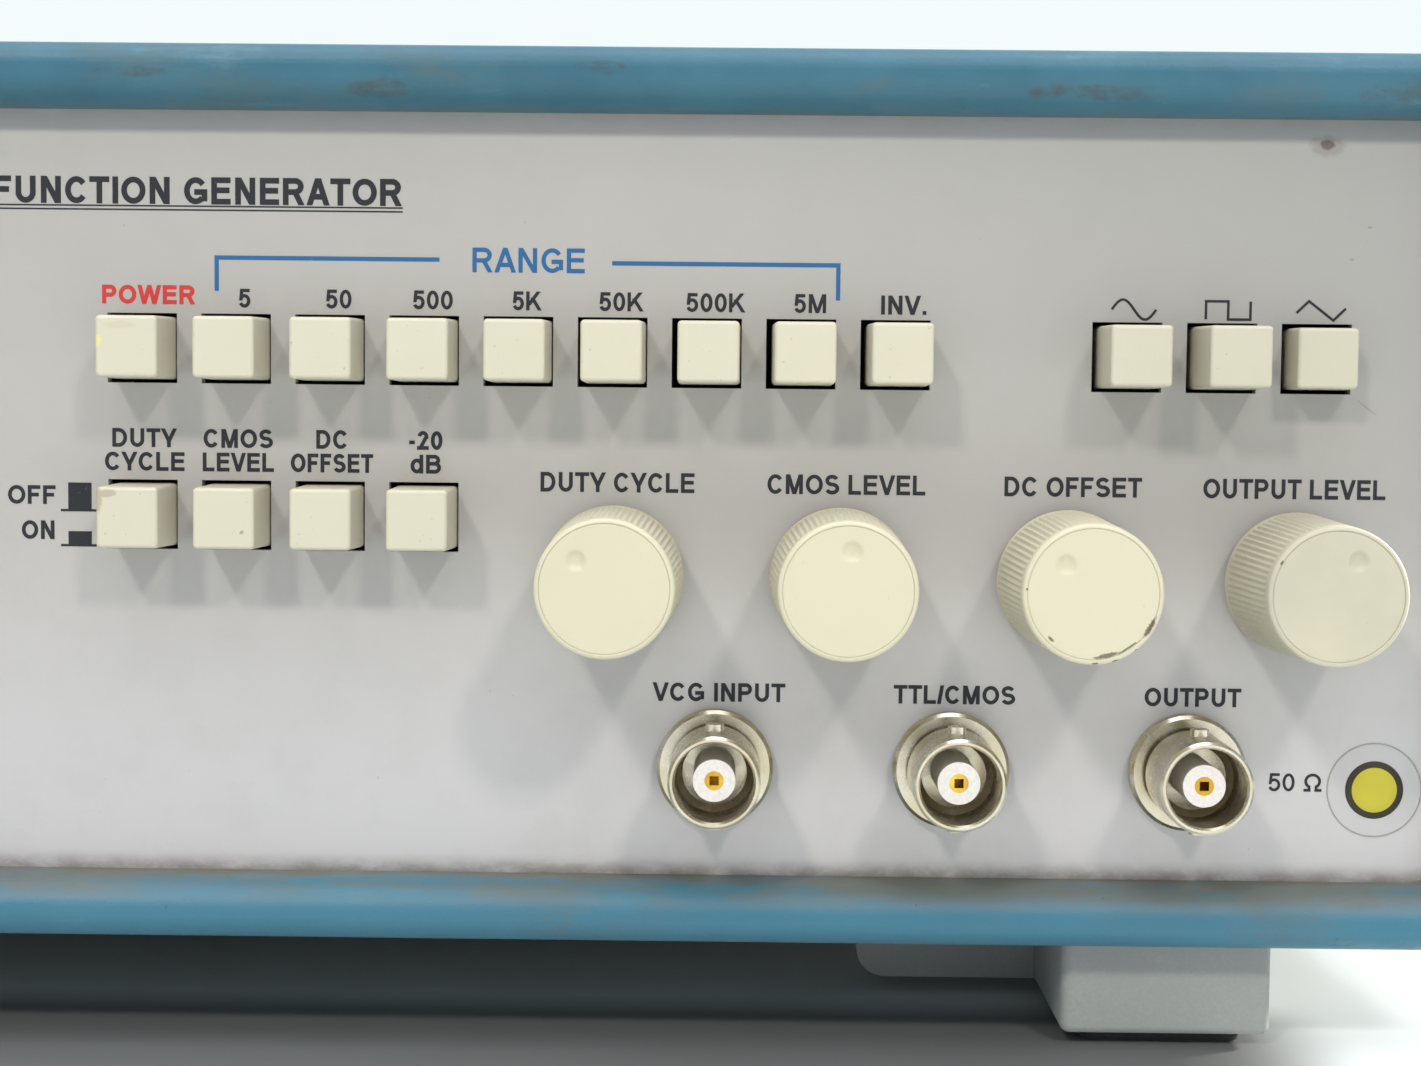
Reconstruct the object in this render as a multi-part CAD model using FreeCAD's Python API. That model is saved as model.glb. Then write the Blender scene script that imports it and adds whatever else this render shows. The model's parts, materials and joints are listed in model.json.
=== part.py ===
import FreeCAD, Part
import math
import os

os.makedirs("parts", exist_ok=True)

# Bench function generator.
# Millimetres, +Z up, the front faces -Y, +X is to the right seen from the front.
# The origin is at the bottom centre of the whole object's box.

V = FreeCAD.Vector

# Overall size
WIDTH = 251.0
HEIGHT = 105.7
DEPTH = 291.0
REAR_Y = DEPTH / 2

# The small knobs are the foremost pieces, so they set where the front panel lies
KNOB_LENGTH = 17.0
KNOB_STANDOFF = 1.2
PANEL_Y = -DEPTH / 2 + KNOB_LENGTH + KNOB_STANDOFF

# Front bezel and rear frame: rings with a lip over the panel and a skirt under the covers
FRAME_BOTTOM = 11.7
FRAME_CORNER = 6.0
FRAME_WALL = 3.7
LIP_WIDTH = 6.5
LIP_CORNER = 3.0
BEZEL_NOSE = 5.2
REAR_NOSE = 4.0
FRAME_REACH = 15.0
SKIRT_LENGTH = 6.0
NOSE_ROUND = 2.3
BEZEL_INNER_ROUND = 4.1
REAR_INNER_ROUND = 3.0
PANEL_CORNER = 2.0

# Covers: two U-shaped sheets that meet half-way up the sides
COVER_INSET = 1.2
COVER_SHEET = 1.0
COVER_CORNER = 5.0
COVER_GAP = 0.1
SEAM_Z = (FRAME_BOTTOM + HEIGHT) / 2
SEAM_GAP = 0.3
VENT_WIDTH = 2.2
VENT_LENGTH = 34.0
VENT_PITCH = 5.5
VENTS_PER_ROW = 22
VENT_REACH = 6.0
TOP_VENTS_Y = 86.0
BOTTOM_VENTS_Y = 30.0

# Panels
PANEL_THICK = 1.6
SUB_PANEL_THICK = 1.2
PANEL_PLAY = 0.1
REAR_PANEL_THICK = 1.5
SUB_PANEL_BACK = PANEL_Y + PANEL_THICK + SUB_PANEL_THICK
REAR_PANEL_Y = REAR_Y - REAR_NOSE
REAR_PANEL_FRONT = REAR_PANEL_Y - REAR_PANEL_THICK

# Push buttons
BUTTON_PITCH = 10.0
BUTTON_HOLE = 7.4
ROW_START_X = -19.6
FUNCTION_START_X = 84.9
ROW_1_Z = 74.1
ROW_2_Z = 56.4
CAP_FRONT = 6.35
CAP_ROOT = 6.75
CAP_LENGTH = 12.5
CAP_ROUND = 0.45
CAP_SHIFT = 0.25
CAP_OUT = 7.5
CAP_OUT_FAR = 8.4
CAP_IN = 4.1
PLUNGER_SIDE = 3.0
PLUNGER_LENGTH = 26.5
MAIN_ROW = ["power", "range_5", "range_50", "range_500", "range_5k", "range_50k", "range_500k", "range_5m",
            "invert"]
FUNCTION_ROW = ["sine", "square", "triangle"]
OPTION_ROW = ["duty_cycle", "cmos_level", "dc_offset", "attenuator"]

# Switches and the board behind them, as depths behind the panel's front
SWITCH_FRONT = 14.0
SWITCH_DEPTH = 16.0
POWER_SWITCH_DEPTH = 24.0
SWITCH_SIDE = 9.8
PLUNGER_BORE = 3.5
BOARD_THICK = 1.6
BOARD_HOLE = 4.6
FRONT_BOARD_X = (-26.0, 110.0)
FRONT_BOARD_Z = (42.0, 82.0)

# Knobs: name, X of the shaft, radius at the base, and the pointer's angle clockwise from the top
KNOB_Z = 50.4
SMALL_KNOB = 7.5
LARGE_KNOB = 12.0
KNOBS = [
    ("coarse", -96.0, LARGE_KNOB, -20.0),
    ("fine", -60.0, SMALL_KNOB, 10.0),
    ("duty", 30.7, SMALL_KNOB, -45.0),
    ("cmos", 54.8, SMALL_KNOB, 5.0),
    ("offset", 78.9, SMALL_KNOB, -43.0),
    ("output", 103.0, SMALL_KNOB, 28.0),
]
KNOB_TAPER = 0.5
RIB_DEPTH = 0.22
RIB_PITCH = 0.65
LIP_LENGTH = 1.2
LIP_ROUND = 0.5
CAP_DISC_RIM = 0.65
CAP_DISC_THICK = 1.2
DISC_GAP = 0.05
DIMPLE_PLACE = 0.6
DIMPLE_SPHERE = 1.9
DIMPLE_DEPTH = 0.4
KNOB_HOLLOW = 6.2
KNOB_HOLLOW_DEPTH = 4.6
SHAFT_RADIUS = 3.0
SHAFT_OUT = 15.5
SHAFT_IN = 8.5

# Potentiometers
POT_RADIUS = 8.0
POT_DEPTH = 8.5
BUSHING_RADIUS = 3.5
BUSHING_OUT = 4.4
BUSHING_PLAY = 0.05
POT_NUT_FLATS = 10.0
NUT_THICK = 2.0

# BNC jacks: name and X
JACK_Z = 30.0
JACKS = [("vcg_input_jack", 41.7), ("ttl_output_jack", 66.9), ("main_output_jack", 92.1)]
JACK_LENGTH = 11.1
JACK_FLANGE = 6.2
JACK_FLANGE_THICK = 1.7
JACK_NECK = 4.3
JACK_NECK_END = 2.7
JACK_SHELL = 4.8
JACK_BORE = 4.1
JACK_BORE_DEPTH = 7.0
JACK_INNER_BORE = 3.4
JACK_INNER_DEPTH = 10.4
JACK_THREAD = 4.7
JACK_THREAD_LENGTH = 12.0
JACK_NUT_FLATS = 14.0
LUG_RADIUS = 0.95
LUG_REACH = 5.5
LUG_BACK = 4.6
INSULATOR_RADIUS = 2.2
INSULATOR_RECESS = 1.7
CONTACT_RADIUS = 1.0
CONTACT_SOCKET = 0.95
CONTACT_DEPTH = 5.0
CONTACT_TAIL = 17.0

# Display at the left of the panel
WINDOW_X = -78.0
WINDOW_Z = 84.0
WINDOW_WIDTH = 66.0
WINDOW_HEIGHT = 17.0
WINDOW_SHOULDER = 2.0
WINDOW_INSET = 0.3
DIGITS = 5
DIGIT_PITCH = 12.0
DIGIT_WIDTH = 11.6
DIGIT_HEIGHT = 15.0
DIGIT_DEPTH = 6.0
DISPLAY_BOARD_WIDTH = 74.0
DISPLAY_BOARD_HEIGHT = 26.0

# Feet and tilt legs
FOOT_X = 90.6
FOOT_WIDTH = 22.6
FOOT_DEPTH = 21.7
FOOT_BOTTOM = 1.3
FOOT_SIDE_ROUND = 1.2
FOOT_LOW_ROUND = 0.9
REAR_FOOT_Y = 108.0
PAD_INSET = 2.6
PAD_ROUND = 1.6
LEG_THICK = 8.0
LEG_SIDE_PLAY = 0.4
LEG_EAR = 3.6
LEG_HEIGHT = 9.8
LEG_Z = 6.5
LEG_TOP_PLAY = 0.4
LEG_HINGE_X = 92.5
LEG_TIP_X = 58.5
LEG_TIP_ROUND = 3.3
LEG_POCKET_WALL = 3.0
LEG_PIN = 1.5
LEG_PIN_SEAT = 4.0
LEG_PIN_PLAY = 0.06

# Mains inlet with its fuse drawer, on the rear panel
INLET_X = -85.0
INLET_WIDTH = 31.0
INLET_BOTTOM = 30.0
INLET_TOP = 66.0
INLET_FLANGE = 2.2
INLET_LEDGE = 2.0
INLET_DEPTH = 24.0
SOCKET_Z = 42.0
SOCKET_WIDTH = 24.0
SOCKET_HEIGHT = 16.0
SOCKET_DEPTH = 16.0
SOCKET_CHAMFER = 4.0
PIN_WIDTH = 2.0
PIN_HEIGHT = 4.0
PIN_LENGTH = 13.5
PIN_TAIL = 9.0
PIN_SPACING = 7.0
PIN_DROP = 2.0
DRAWER_Z = 57.6
DRAWER_WIDTH = 22.4
DRAWER_HEIGHT = 9.0
DRAWER_DEPTH = 17.0
DRAWER_PLAY = 0.2
DRAWER_PROUD = 0.6
FUSE_LENGTH = 20.0
FUSE_RADIUS = 2.5
FUSE_CAP_RADIUS = 2.6
FUSE_CAP_LENGTH = 5.0

# Inside: rails, main board and what stands on it, transformer
RAIL_OUTER_X = 121.7
RAIL_WIDTH = 10.0
RAIL_HEIGHT = 20.0
RAIL_SHEET = 1.5
MAIN_BOARD_Z = 26.0
MAIN_BOARD_X = (-50.0, 112.0)
MAIN_BOARD_Y = (-84.0, 126.0)
STANDOFF_RADIUS = 3.0
STANDOFF_INSET = 8.0
FILTER_CAPS = [(-36.0, 104.0), (-12.0, 104.0), (12.0, 104.0)]
FILTER_CAP_RADIUS = 9.0
FILTER_CAP_HEIGHT = 32.0
SINK_X = (52.0, 100.0)
SINK_Y = (20.0, 50.0)
SINK_HEIGHT = 34.0
SINK_FIN = 1.6
SINK_FIN_PITCH = 6.2
SINK_BASE = 4.0
TRANSFORMER_X = -80.0
TRANSFORMER_Y = 82.0
CORE_WIDTH = 57.0
CORE_HEIGHT = 48.0
CORE_STACK = 28.0
CORE_LEG = 9.5
WINDING_OVERHANG = 8.0
RIBBON_WIDTH = 26.0
RIBBON_THICK = 1.2
RIBBON_BEND = 6.0
RIBBON_LEAD = 4.0
RIBBON_X = 20.0
RIBBON_Z = 46.0

# Screws
SCREW_RADIUS = 1.5
SCREW_HEAD = 2.9
SCREW_HEAD_HEIGHT = 1.1
SCREW_LENGTH = 8.0
SIDE_SCREW_YS = (-96.0, 110.0)
SCREW_STEP = 5.0
REAR_SCREW_X = 115.5


# Basic shapes

def box(x0, x1, y0, y1, z0, z1):
    """A box between two corners."""
    return Part.makeBox(x1 - x0, y1 - y0, z1 - z0, V(x0, y0, z0))


def centred_box(x, z, width, height, y0, y1):
    """A box centred on X and Z."""
    return box(x - width / 2, x + width / 2, y0, y1, z - height / 2, z + height / 2)


def rod_x(y, z, radius, x0, x1):
    """A cylinder along +X, or along -X where x1 is the smaller."""
    sign = math.copysign(1, x1 - x0)
    return Part.makeCylinder(radius, abs(x1 - x0), V(x0, y, z), V(sign, 0, 0))


def rod_y(x, z, radius, y0, y1):
    """A cylinder along Y."""
    return Part.makeCylinder(radius, y1 - y0, V(x, y0, z), V(0, 1, 0))


def rod_z(x, y, radius, z0, z1):
    """A cylinder along Z."""
    return Part.makeCylinder(radius, z1 - z0, V(x, y, z0), V(0, 0, 1))


def edges_along(shape, axis):
    """The straight edges that run along axis 0, 1 or 2."""
    found = []
    for edge in shape.Edges:
        run = edge.Vertexes[-1].Point - edge.Vertexes[0].Point
        across = [abs(run[i]) for i in range(3) if i != axis]
        if max(across) < 1e-6 and abs(run[axis]) > 1e-6:
            found.append(edge)
    return found


def edges_at_y(shape, y):
    """The edges that lie in the plane at y."""
    return [e for e in shape.Edges if max(abs(p.Point.y - y) for p in e.Vertexes) < 1e-6]


def rounded_slab(half_width, z0, z1, y0, y1, radius):
    """A slab across the whole width, with its four corners rounded."""
    slab = box(-half_width, half_width, y0, y1, z0, z1)
    return slab.makeFillet(radius, edges_along(slab, 1))


def hexagon(x, z, flats, y0, y1):
    """A hexagonal prism along Y with two corners level with its centre."""
    radius = flats / math.sqrt(3)
    points = []
    for i in range(7):
        turn = math.radians(60 * i)
        points.append(V(x + radius * math.cos(turn), y0, z + radius * math.sin(turn)))
    return Part.Face(Part.makePolygon(points)).extrude(V(0, y1 - y0, 0))


def revolved(x, z, profile):
    """A solid turned about the line through x and z along Y, from (radius, y) points."""
    points = [V(x + radius, y, z) for radius, y in profile]
    face = Part.Face(Part.makePolygon(points + [points[0]]))
    return face.revolve(V(x, 0, z), V(0, 1, 0), 360)


def group(solids):
    """Several separate solids as one node."""
    return Part.makeCompound(solids)


# Frames

def frame_ring(nose, inner_round):
    """A moulded ring with its panel face at y = 0 and its rounded nose towards -Y."""
    half = WIDTH / 2
    outer = rounded_slab(half, FRAME_BOTTOM, HEIGHT, -nose, FRAME_REACH, FRAME_CORNER)
    outer = outer.makeFillet(NOSE_ROUND, edges_at_y(outer, -nose))
    low = FRAME_BOTTOM + LIP_WIDTH
    mouth = rounded_slab(half - LIP_WIDTH, low, HEIGHT - LIP_WIDTH, -nose, FRAME_REACH, LIP_CORNER)
    ring = outer.cut(mouth)
    inner_edges = [e for e in edges_at_y(ring, -nose) if e.BoundBox.XMax < half - LIP_WIDTH + 0.1
                   and e.BoundBox.XMin > LIP_WIDTH - half - 0.1 and e.BoundBox.ZMin > low - 0.1
                   and e.BoundBox.ZMax < HEIGHT - LIP_WIDTH + 0.1]
    ring = ring.makeFillet(inner_round, inner_edges)
    pocket = rounded_slab(half - FRAME_WALL, FRAME_BOTTOM + FRAME_WALL, HEIGHT - FRAME_WALL,
                          0, FRAME_REACH, PANEL_CORNER)
    ring = ring.cut(pocket)
    inset = COVER_INSET + COVER_SHEET + COVER_GAP
    skirt_y = FRAME_REACH - SKIRT_LENGTH
    around = rounded_slab(half + 1, FRAME_BOTTOM - 1, HEIGHT + 1, skirt_y, FRAME_REACH, 1.0)
    skirt = rounded_slab(half - inset, FRAME_BOTTOM + inset, HEIGHT - inset, skirt_y, FRAME_REACH,
                         COVER_CORNER - COVER_SHEET)
    return ring.cut(around.cut(skirt))


def front_bezel():
    ring = frame_ring(BEZEL_NOSE, BEZEL_INNER_ROUND)
    ring.translate(V(0, PANEL_Y, 0))
    return ring


def rear_frame():
    ring = frame_ring(REAR_NOSE, REAR_INNER_ROUND).mirror(V(0, 0, 0), V(0, 1, 0))
    ring.translate(V(0, REAR_PANEL_Y, 0))
    return ring


# Covers

def screw_places():
    """Y and Z of the screws that hold the covers to the side rails."""
    return [(y, SEAM_Z + step) for y in SIDE_SCREW_YS for step in (-SCREW_STEP, SCREW_STEP)]


def side_screw_holes():
    """Rods that cut the screw holes through both side walls."""
    reach = WIDTH / 2 + 1
    holes = []
    for y, z in screw_places():
        for side in (-1, 1):
            holes.append(rod_x(y, z, SCREW_RADIUS, side * (reach - 20), side * reach))
    return holes


def cover_tube():
    """The closed tube of sheet that the two covers are halves of."""
    y0 = PANEL_Y + FRAME_REACH - SKIRT_LENGTH + COVER_GAP
    y1 = REAR_PANEL_Y - FRAME_REACH + SKIRT_LENGTH - COVER_GAP
    half = WIDTH / 2 - COVER_INSET
    low = FRAME_BOTTOM + COVER_INSET
    high = HEIGHT - COVER_INSET
    outer = rounded_slab(half, low, high, y0, y1, COVER_CORNER)
    inner = rounded_slab(half - COVER_SHEET, low + COVER_SHEET, high - COVER_SHEET,
                         y0, y1, COVER_CORNER - COVER_SHEET)
    return outer.cut(inner).cut(side_screw_holes())


def vent_slots(y, z0, z1):
    """A row of round-ended slots across the cover."""
    slots = []
    first = -(VENTS_PER_ROW - 1) / 2 * VENT_PITCH
    for i in range(VENTS_PER_ROW):
        x = first + i * VENT_PITCH
        slot = box(x - VENT_WIDTH / 2, x + VENT_WIDTH / 2, y - VENT_LENGTH / 2, y + VENT_LENGTH / 2,
                   z0, z1)
        slots.append(slot.makeFillet(VENT_WIDTH / 2 - 0.01, edges_along(slot, 2)))
    return slots


def top_cover():
    half = box(-WIDTH, WIDTH, -DEPTH, DEPTH, SEAM_Z + SEAM_GAP / 2, 2 * HEIGHT)
    shell = cover_tube().common(half)
    return shell.cut(vent_slots(TOP_VENTS_Y, HEIGHT - VENT_REACH, HEIGHT))


def bottom_cover():
    half = box(-WIDTH, WIDTH, -DEPTH, DEPTH, -HEIGHT, SEAM_Z - SEAM_GAP / 2)
    shell = cover_tube().common(half)
    return shell.cut(vent_slots(BOTTOM_VENTS_Y, FRAME_BOTTOM, FRAME_BOTTOM + VENT_REACH))


# Push buttons

def button_places():
    """Each button's name with its hole's centre and how far its cap stands out of the panel."""
    places = {}
    for i, name in enumerate(MAIN_ROW):
        places[name] = (ROW_START_X + i * BUTTON_PITCH, ROW_1_Z, CAP_OUT)
    for i, name in enumerate(FUNCTION_ROW):
        places[name] = (FUNCTION_START_X + i * BUTTON_PITCH, ROW_1_Z, CAP_OUT)
    for i, name in enumerate(OPTION_ROW):
        places[name] = (ROW_START_X + i * BUTTON_PITCH, ROW_2_Z, CAP_OUT)
    x, z, _ = places["square"]
    places["square"] = (x, z, CAP_OUT_FAR)
    x, z, _ = places["triangle"]
    places["triangle"] = (x, z, CAP_IN)
    return places


def button_cap(x, z, out):
    """A square cap that narrows to the front, with rounded edges."""
    front = PANEL_Y - out
    a = CAP_FRONT / 2
    b = CAP_ROOT / 2
    cap = Part.makeWedge(x - a, front, z - a, z - b, x - b, x + a, front + CAP_LENGTH, z + a, z + b, x + b)
    long_edges = [e for e in cap.Edges if e.Length > CAP_LENGTH - 0.1]
    cap = cap.makeFillet(CAP_ROUND, long_edges)
    return cap.makeFillet(CAP_ROUND - 0.05, edges_at_y(cap, front))


def button(x, z, out):
    """A cap and the square plunger behind it, as two solids."""
    root = PANEL_Y - out + CAP_LENGTH
    centre = x + CAP_SHIFT
    plunger = centred_box(centre, z, PLUNGER_SIDE, PLUNGER_SIDE, root, root + PLUNGER_LENGTH)
    return group([button_cap(centre, z, out), plunger])


def switch_bank(names, depth):
    """One row's switch housings in one block, bored for their plungers."""
    places = button_places()
    xs = [places[name][0] + CAP_SHIFT for name in names]
    z = places[names[0]][1]
    y0 = PANEL_Y + SWITCH_FRONT
    y1 = y0 + depth
    half = SWITCH_SIDE / 2
    block = box(min(xs) - half, max(xs) + half, y0, y1, z - half, z + half)
    return block.cut([centred_box(x, z, PLUNGER_BORE, PLUNGER_BORE, y0, y1) for x in xs])


def switch_banks():
    """The three banks of small switches."""
    return group([switch_bank(row, SWITCH_DEPTH) for row in (MAIN_ROW[1:], FUNCTION_ROW, OPTION_ROW)])


def front_board():
    """The board that the switches and potentiometers are soldered to."""
    y0 = PANEL_Y + SWITCH_FRONT + SWITCH_DEPTH
    y1 = y0 + BOARD_THICK
    board = box(*FRONT_BOARD_X, y0, y1, *FRONT_BOARD_Z)
    places = button_places()
    holes = []
    for name in MAIN_ROW[1:] + FUNCTION_ROW + OPTION_ROW:
        x, z, _ = places[name]
        holes.append(centred_box(x + CAP_SHIFT, z, BOARD_HOLE, BOARD_HOLE, y0, y1))
    x, z, _ = places["power"]
    holes.append(box(-27, x + CAP_SHIFT + SWITCH_SIDE / 2 + 0.1, y0, y1, z - 6, 83))
    return board.cut(holes)


# Knobs and potentiometers

def ribbed_outline(x, z, radius, ribs, y):
    """A closed outline of shallow V ribs round the knob."""
    points = []
    for i in range(2 * ribs):
        turn = math.pi * i / ribs
        reach = radius - RIB_DEPTH * (i % 2)
        points.append(V(x + reach * math.cos(turn), y, z + reach * math.sin(turn)))
    return Part.makePolygon(points + [points[0]])


def knob(x, radius, pointer):
    """A ribbed, hollow knob body, the dimpled cap disc pressed into its front, and its shaft."""
    base = PANEL_Y - KNOB_STANDOFF
    front = base - KNOB_LENGTH
    tip = radius - KNOB_TAPER
    lip_y = front + LIP_LENGTH
    ribs = round(2 * math.pi * radius / RIB_PITCH)
    back_outline = ribbed_outline(x, KNOB_Z, radius, ribs, base)
    front_outline = ribbed_outline(x, KNOB_Z, tip, ribs, lip_y)
    body = Part.makeLoft([front_outline, back_outline], True, True)
    lip = rod_y(x, KNOB_Z, tip - RIB_DEPTH, front, lip_y)
    lip = lip.makeFillet(LIP_ROUND, [e for e in edges_at_y(lip, front) if len(e.Vertexes) == 1])
    disc_radius = tip - CAP_DISC_RIM
    shaft_y = PANEL_Y - SHAFT_OUT
    body = body.fuse(lip).cut([
        rod_y(x, KNOB_Z, disc_radius, front, front + CAP_DISC_THICK),
        rod_y(x, KNOB_Z, KNOB_HOLLOW * radius / SMALL_KNOB, base - KNOB_HOLLOW_DEPTH, base),
        rod_y(x, KNOB_Z, SHAFT_RADIUS, shaft_y, base),
    ])
    disc = rod_y(x, KNOB_Z, disc_radius - DISC_GAP, front, front + CAP_DISC_THICK)
    turn = math.radians(pointer)
    reach = DIMPLE_PLACE * tip
    scale = radius / SMALL_KNOB
    centre = V(x + reach * math.sin(turn), front - (DIMPLE_SPHERE - DIMPLE_DEPTH) * scale,
               KNOB_Z + reach * math.cos(turn))
    disc = disc.cut(Part.makeSphere(DIMPLE_SPHERE * scale, centre))
    shaft = rod_y(x, KNOB_Z, SHAFT_RADIUS, shaft_y, PANEL_Y + SHAFT_IN)
    return group([body.removeSplitter(), disc, shaft])


def potentiometer(x):
    """A round body and its threaded bushing, bored for the shaft."""
    body = rod_y(x, KNOB_Z, POT_RADIUS, SUB_PANEL_BACK, SUB_PANEL_BACK + POT_DEPTH)
    bushing = rod_y(x, KNOB_Z, BUSHING_RADIUS, PANEL_Y - BUSHING_OUT, SUB_PANEL_BACK)
    bore = rod_y(x, KNOB_Z, SHAFT_RADIUS + BUSHING_PLAY, PANEL_Y - BUSHING_OUT, PANEL_Y + SHAFT_IN + 0.3)
    return body.fuse(bushing).cut(bore)


def potentiometers():
    return group([potentiometer(x) for _, x, _, _ in KNOBS])


def nut(x, z, flats, bore, y0, y1):
    return hexagon(x, z, flats, y0, y1).cut(rod_y(x, z, bore, y0, y1))


def panel_nuts():
    """The nuts of the potentiometers, in front of the panel, and of the jacks, behind it."""
    nuts = [nut(x, KNOB_Z, POT_NUT_FLATS, BUSHING_RADIUS, PANEL_Y - NUT_THICK, PANEL_Y)
            for _, x, _, _ in KNOBS]
    for _, x in JACKS:
        nuts.append(nut(x, JACK_Z, JACK_NUT_FLATS, JACK_THREAD, SUB_PANEL_BACK, SUB_PANEL_BACK + NUT_THICK))
    return group(nuts)


# BNC jacks

def jack_shell(x):
    """A turned shell with a round flange, a neck, two bayonet lugs and a stepped bore."""
    y = PANEL_Y
    rim = y - JACK_LENGTH
    shell = revolved(x, JACK_Z, [
        (INSULATOR_RADIUS, rim + JACK_INNER_DEPTH),
        (JACK_INNER_BORE, rim + JACK_INNER_DEPTH),
        (JACK_INNER_BORE, rim + JACK_BORE_DEPTH),
        (JACK_BORE, rim + JACK_BORE_DEPTH - 0.5),
        (JACK_BORE, rim + 0.25),
        (JACK_BORE + 0.2, rim),
        (JACK_SHELL - 0.25, rim),
        (JACK_SHELL, rim + 0.25),
        (JACK_SHELL, y - JACK_NECK_END),
        (JACK_NECK, y - JACK_NECK_END),
        (JACK_NECK, y - JACK_FLANGE_THICK),
        (JACK_FLANGE - 0.35, y - JACK_FLANGE_THICK),
        (JACK_FLANGE, y - JACK_FLANGE_THICK + 0.35),
        (JACK_FLANGE, y),
        (JACK_THREAD, y),
        (JACK_THREAD, y + JACK_THREAD_LENGTH),
        (INSULATOR_RADIUS, y + JACK_THREAD_LENGTH),
    ])
    lug_y = rim + LUG_BACK
    top = rod_z(x, lug_y, LUG_RADIUS, JACK_Z + JACK_BORE + 0.3, JACK_Z + LUG_REACH)
    bottom = rod_z(x, lug_y, LUG_RADIUS, JACK_Z - LUG_REACH, JACK_Z - JACK_BORE - 0.3)
    return shell.fuse([top, bottom])


def jack_insulator(x):
    """The white sleeve between the shell and the centre contact."""
    y0 = PANEL_Y - JACK_LENGTH + INSULATOR_RECESS
    y1 = PANEL_Y + JACK_THREAD_LENGTH + 1
    sleeve = rod_y(x, JACK_Z, INSULATOR_RADIUS, y0, y1)
    return sleeve.cut(rod_y(x, JACK_Z, CONTACT_RADIUS, y0, y1))


def jack_contact(x):
    """The centre contact with its socket at the front and its solder tail behind."""
    y0 = PANEL_Y - JACK_LENGTH + INSULATOR_RECESS
    pin = rod_y(x, JACK_Z, CONTACT_RADIUS, y0, PANEL_Y + CONTACT_TAIL)
    return pin.cut(centred_box(x, JACK_Z, CONTACT_SOCKET, CONTACT_SOCKET, y0, y0 + CONTACT_DEPTH))


# Panels

def panel_openings(y0, y1, button_side, bushing, jack):
    """Tools that cut the button, bushing and jack holes through a panel."""
    tools = [centred_box(x, z, button_side, button_side, y0, y1) for x, z, _ in button_places().values()]
    tools += [rod_y(x, KNOB_Z, bushing, y0, y1) for _, x, _, _ in KNOBS]
    tools += [rod_y(x, JACK_Z, jack, y0, y1) for _, x in JACKS]
    return tools


def front_panel():
    """The printed panel that shows inside the bezel."""
    half = WIDTH / 2 - FRAME_WALL - PANEL_PLAY
    edge = FRAME_WALL + PANEL_PLAY
    y1 = PANEL_Y + PANEL_THICK
    panel = rounded_slab(half, FRAME_BOTTOM + edge, HEIGHT - edge, PANEL_Y, y1, 2.0)
    tools = panel_openings(PANEL_Y, y1, BUTTON_HOLE, BUSHING_RADIUS, JACK_THREAD)
    tools.append(centred_box(WINDOW_X, WINDOW_Z, WINDOW_WIDTH, WINDOW_HEIGHT, PANEL_Y, y1))
    return panel.cut(tools)


def sub_panel():
    """The steel plate behind the printed panel."""
    half = WIDTH / 2 - FRAME_WALL - 1.0
    y0 = PANEL_Y + PANEL_THICK
    plate = rounded_slab(half, FRAME_BOTTOM + FRAME_WALL + 1.0, HEIGHT - FRAME_WALL - 1.0,
                         y0, SUB_PANEL_BACK, 2.0)
    tools = panel_openings(y0, SUB_PANEL_BACK, BUTTON_HOLE + 0.8, BUSHING_RADIUS, JACK_THREAD)
    side = 2 * WINDOW_SHOULDER
    tools.append(centred_box(WINDOW_X, WINDOW_Z, WINDOW_WIDTH + side, WINDOW_HEIGHT + side,
                             y0, SUB_PANEL_BACK))
    return plate.cut(tools)


def rear_panel():
    """The sheet inside the rear frame, cut for the mains inlet and the rail screws."""
    edge = FRAME_WALL + PANEL_PLAY
    half = WIDTH / 2 - edge
    panel = rounded_slab(half, FRAME_BOTTOM + edge, HEIGHT - edge, REAR_PANEL_FRONT, REAR_PANEL_Y, 2.0)
    tools = [inlet_block(REAR_PANEL_FRONT, REAR_PANEL_Y)]
    for x, z in rear_screw_places():
        tools.append(rod_y(x, z, SCREW_RADIUS, REAR_PANEL_FRONT, REAR_PANEL_Y))
    return panel.cut(tools)


# Display

def display_window():
    """A tinted window that fills the panel's opening, with a shoulder behind it."""
    y1 = PANEL_Y + PANEL_THICK
    lens = centred_box(WINDOW_X, WINDOW_Z, WINDOW_WIDTH - 0.1, WINDOW_HEIGHT - 0.1,
                       PANEL_Y + WINDOW_INSET, y1)
    side = 2 * WINDOW_SHOULDER - 0.1
    shoulder = centred_box(WINDOW_X, WINDOW_Z, WINDOW_WIDTH + side, WINDOW_HEIGHT + side,
                           y1, SUB_PANEL_BACK)
    return lens.fuse(shoulder).removeSplitter()


def display_module():
    """A row of digit blocks and the small board that carries them."""
    y0 = SUB_PANEL_BACK + 0.3
    y1 = y0 + DIGIT_DEPTH
    solids = []
    for i in range(DIGITS):
        x = WINDOW_X + (i - (DIGITS - 1) / 2) * DIGIT_PITCH
        solids.append(centred_box(x, WINDOW_Z, DIGIT_WIDTH, DIGIT_HEIGHT, y0, y1))
    solids.append(centred_box(WINDOW_X, WINDOW_Z, DISPLAY_BOARD_WIDTH, DISPLAY_BOARD_HEIGHT,
                              y1, y1 + BOARD_THICK))
    return group(solids)


# Feet and tilt legs

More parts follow.
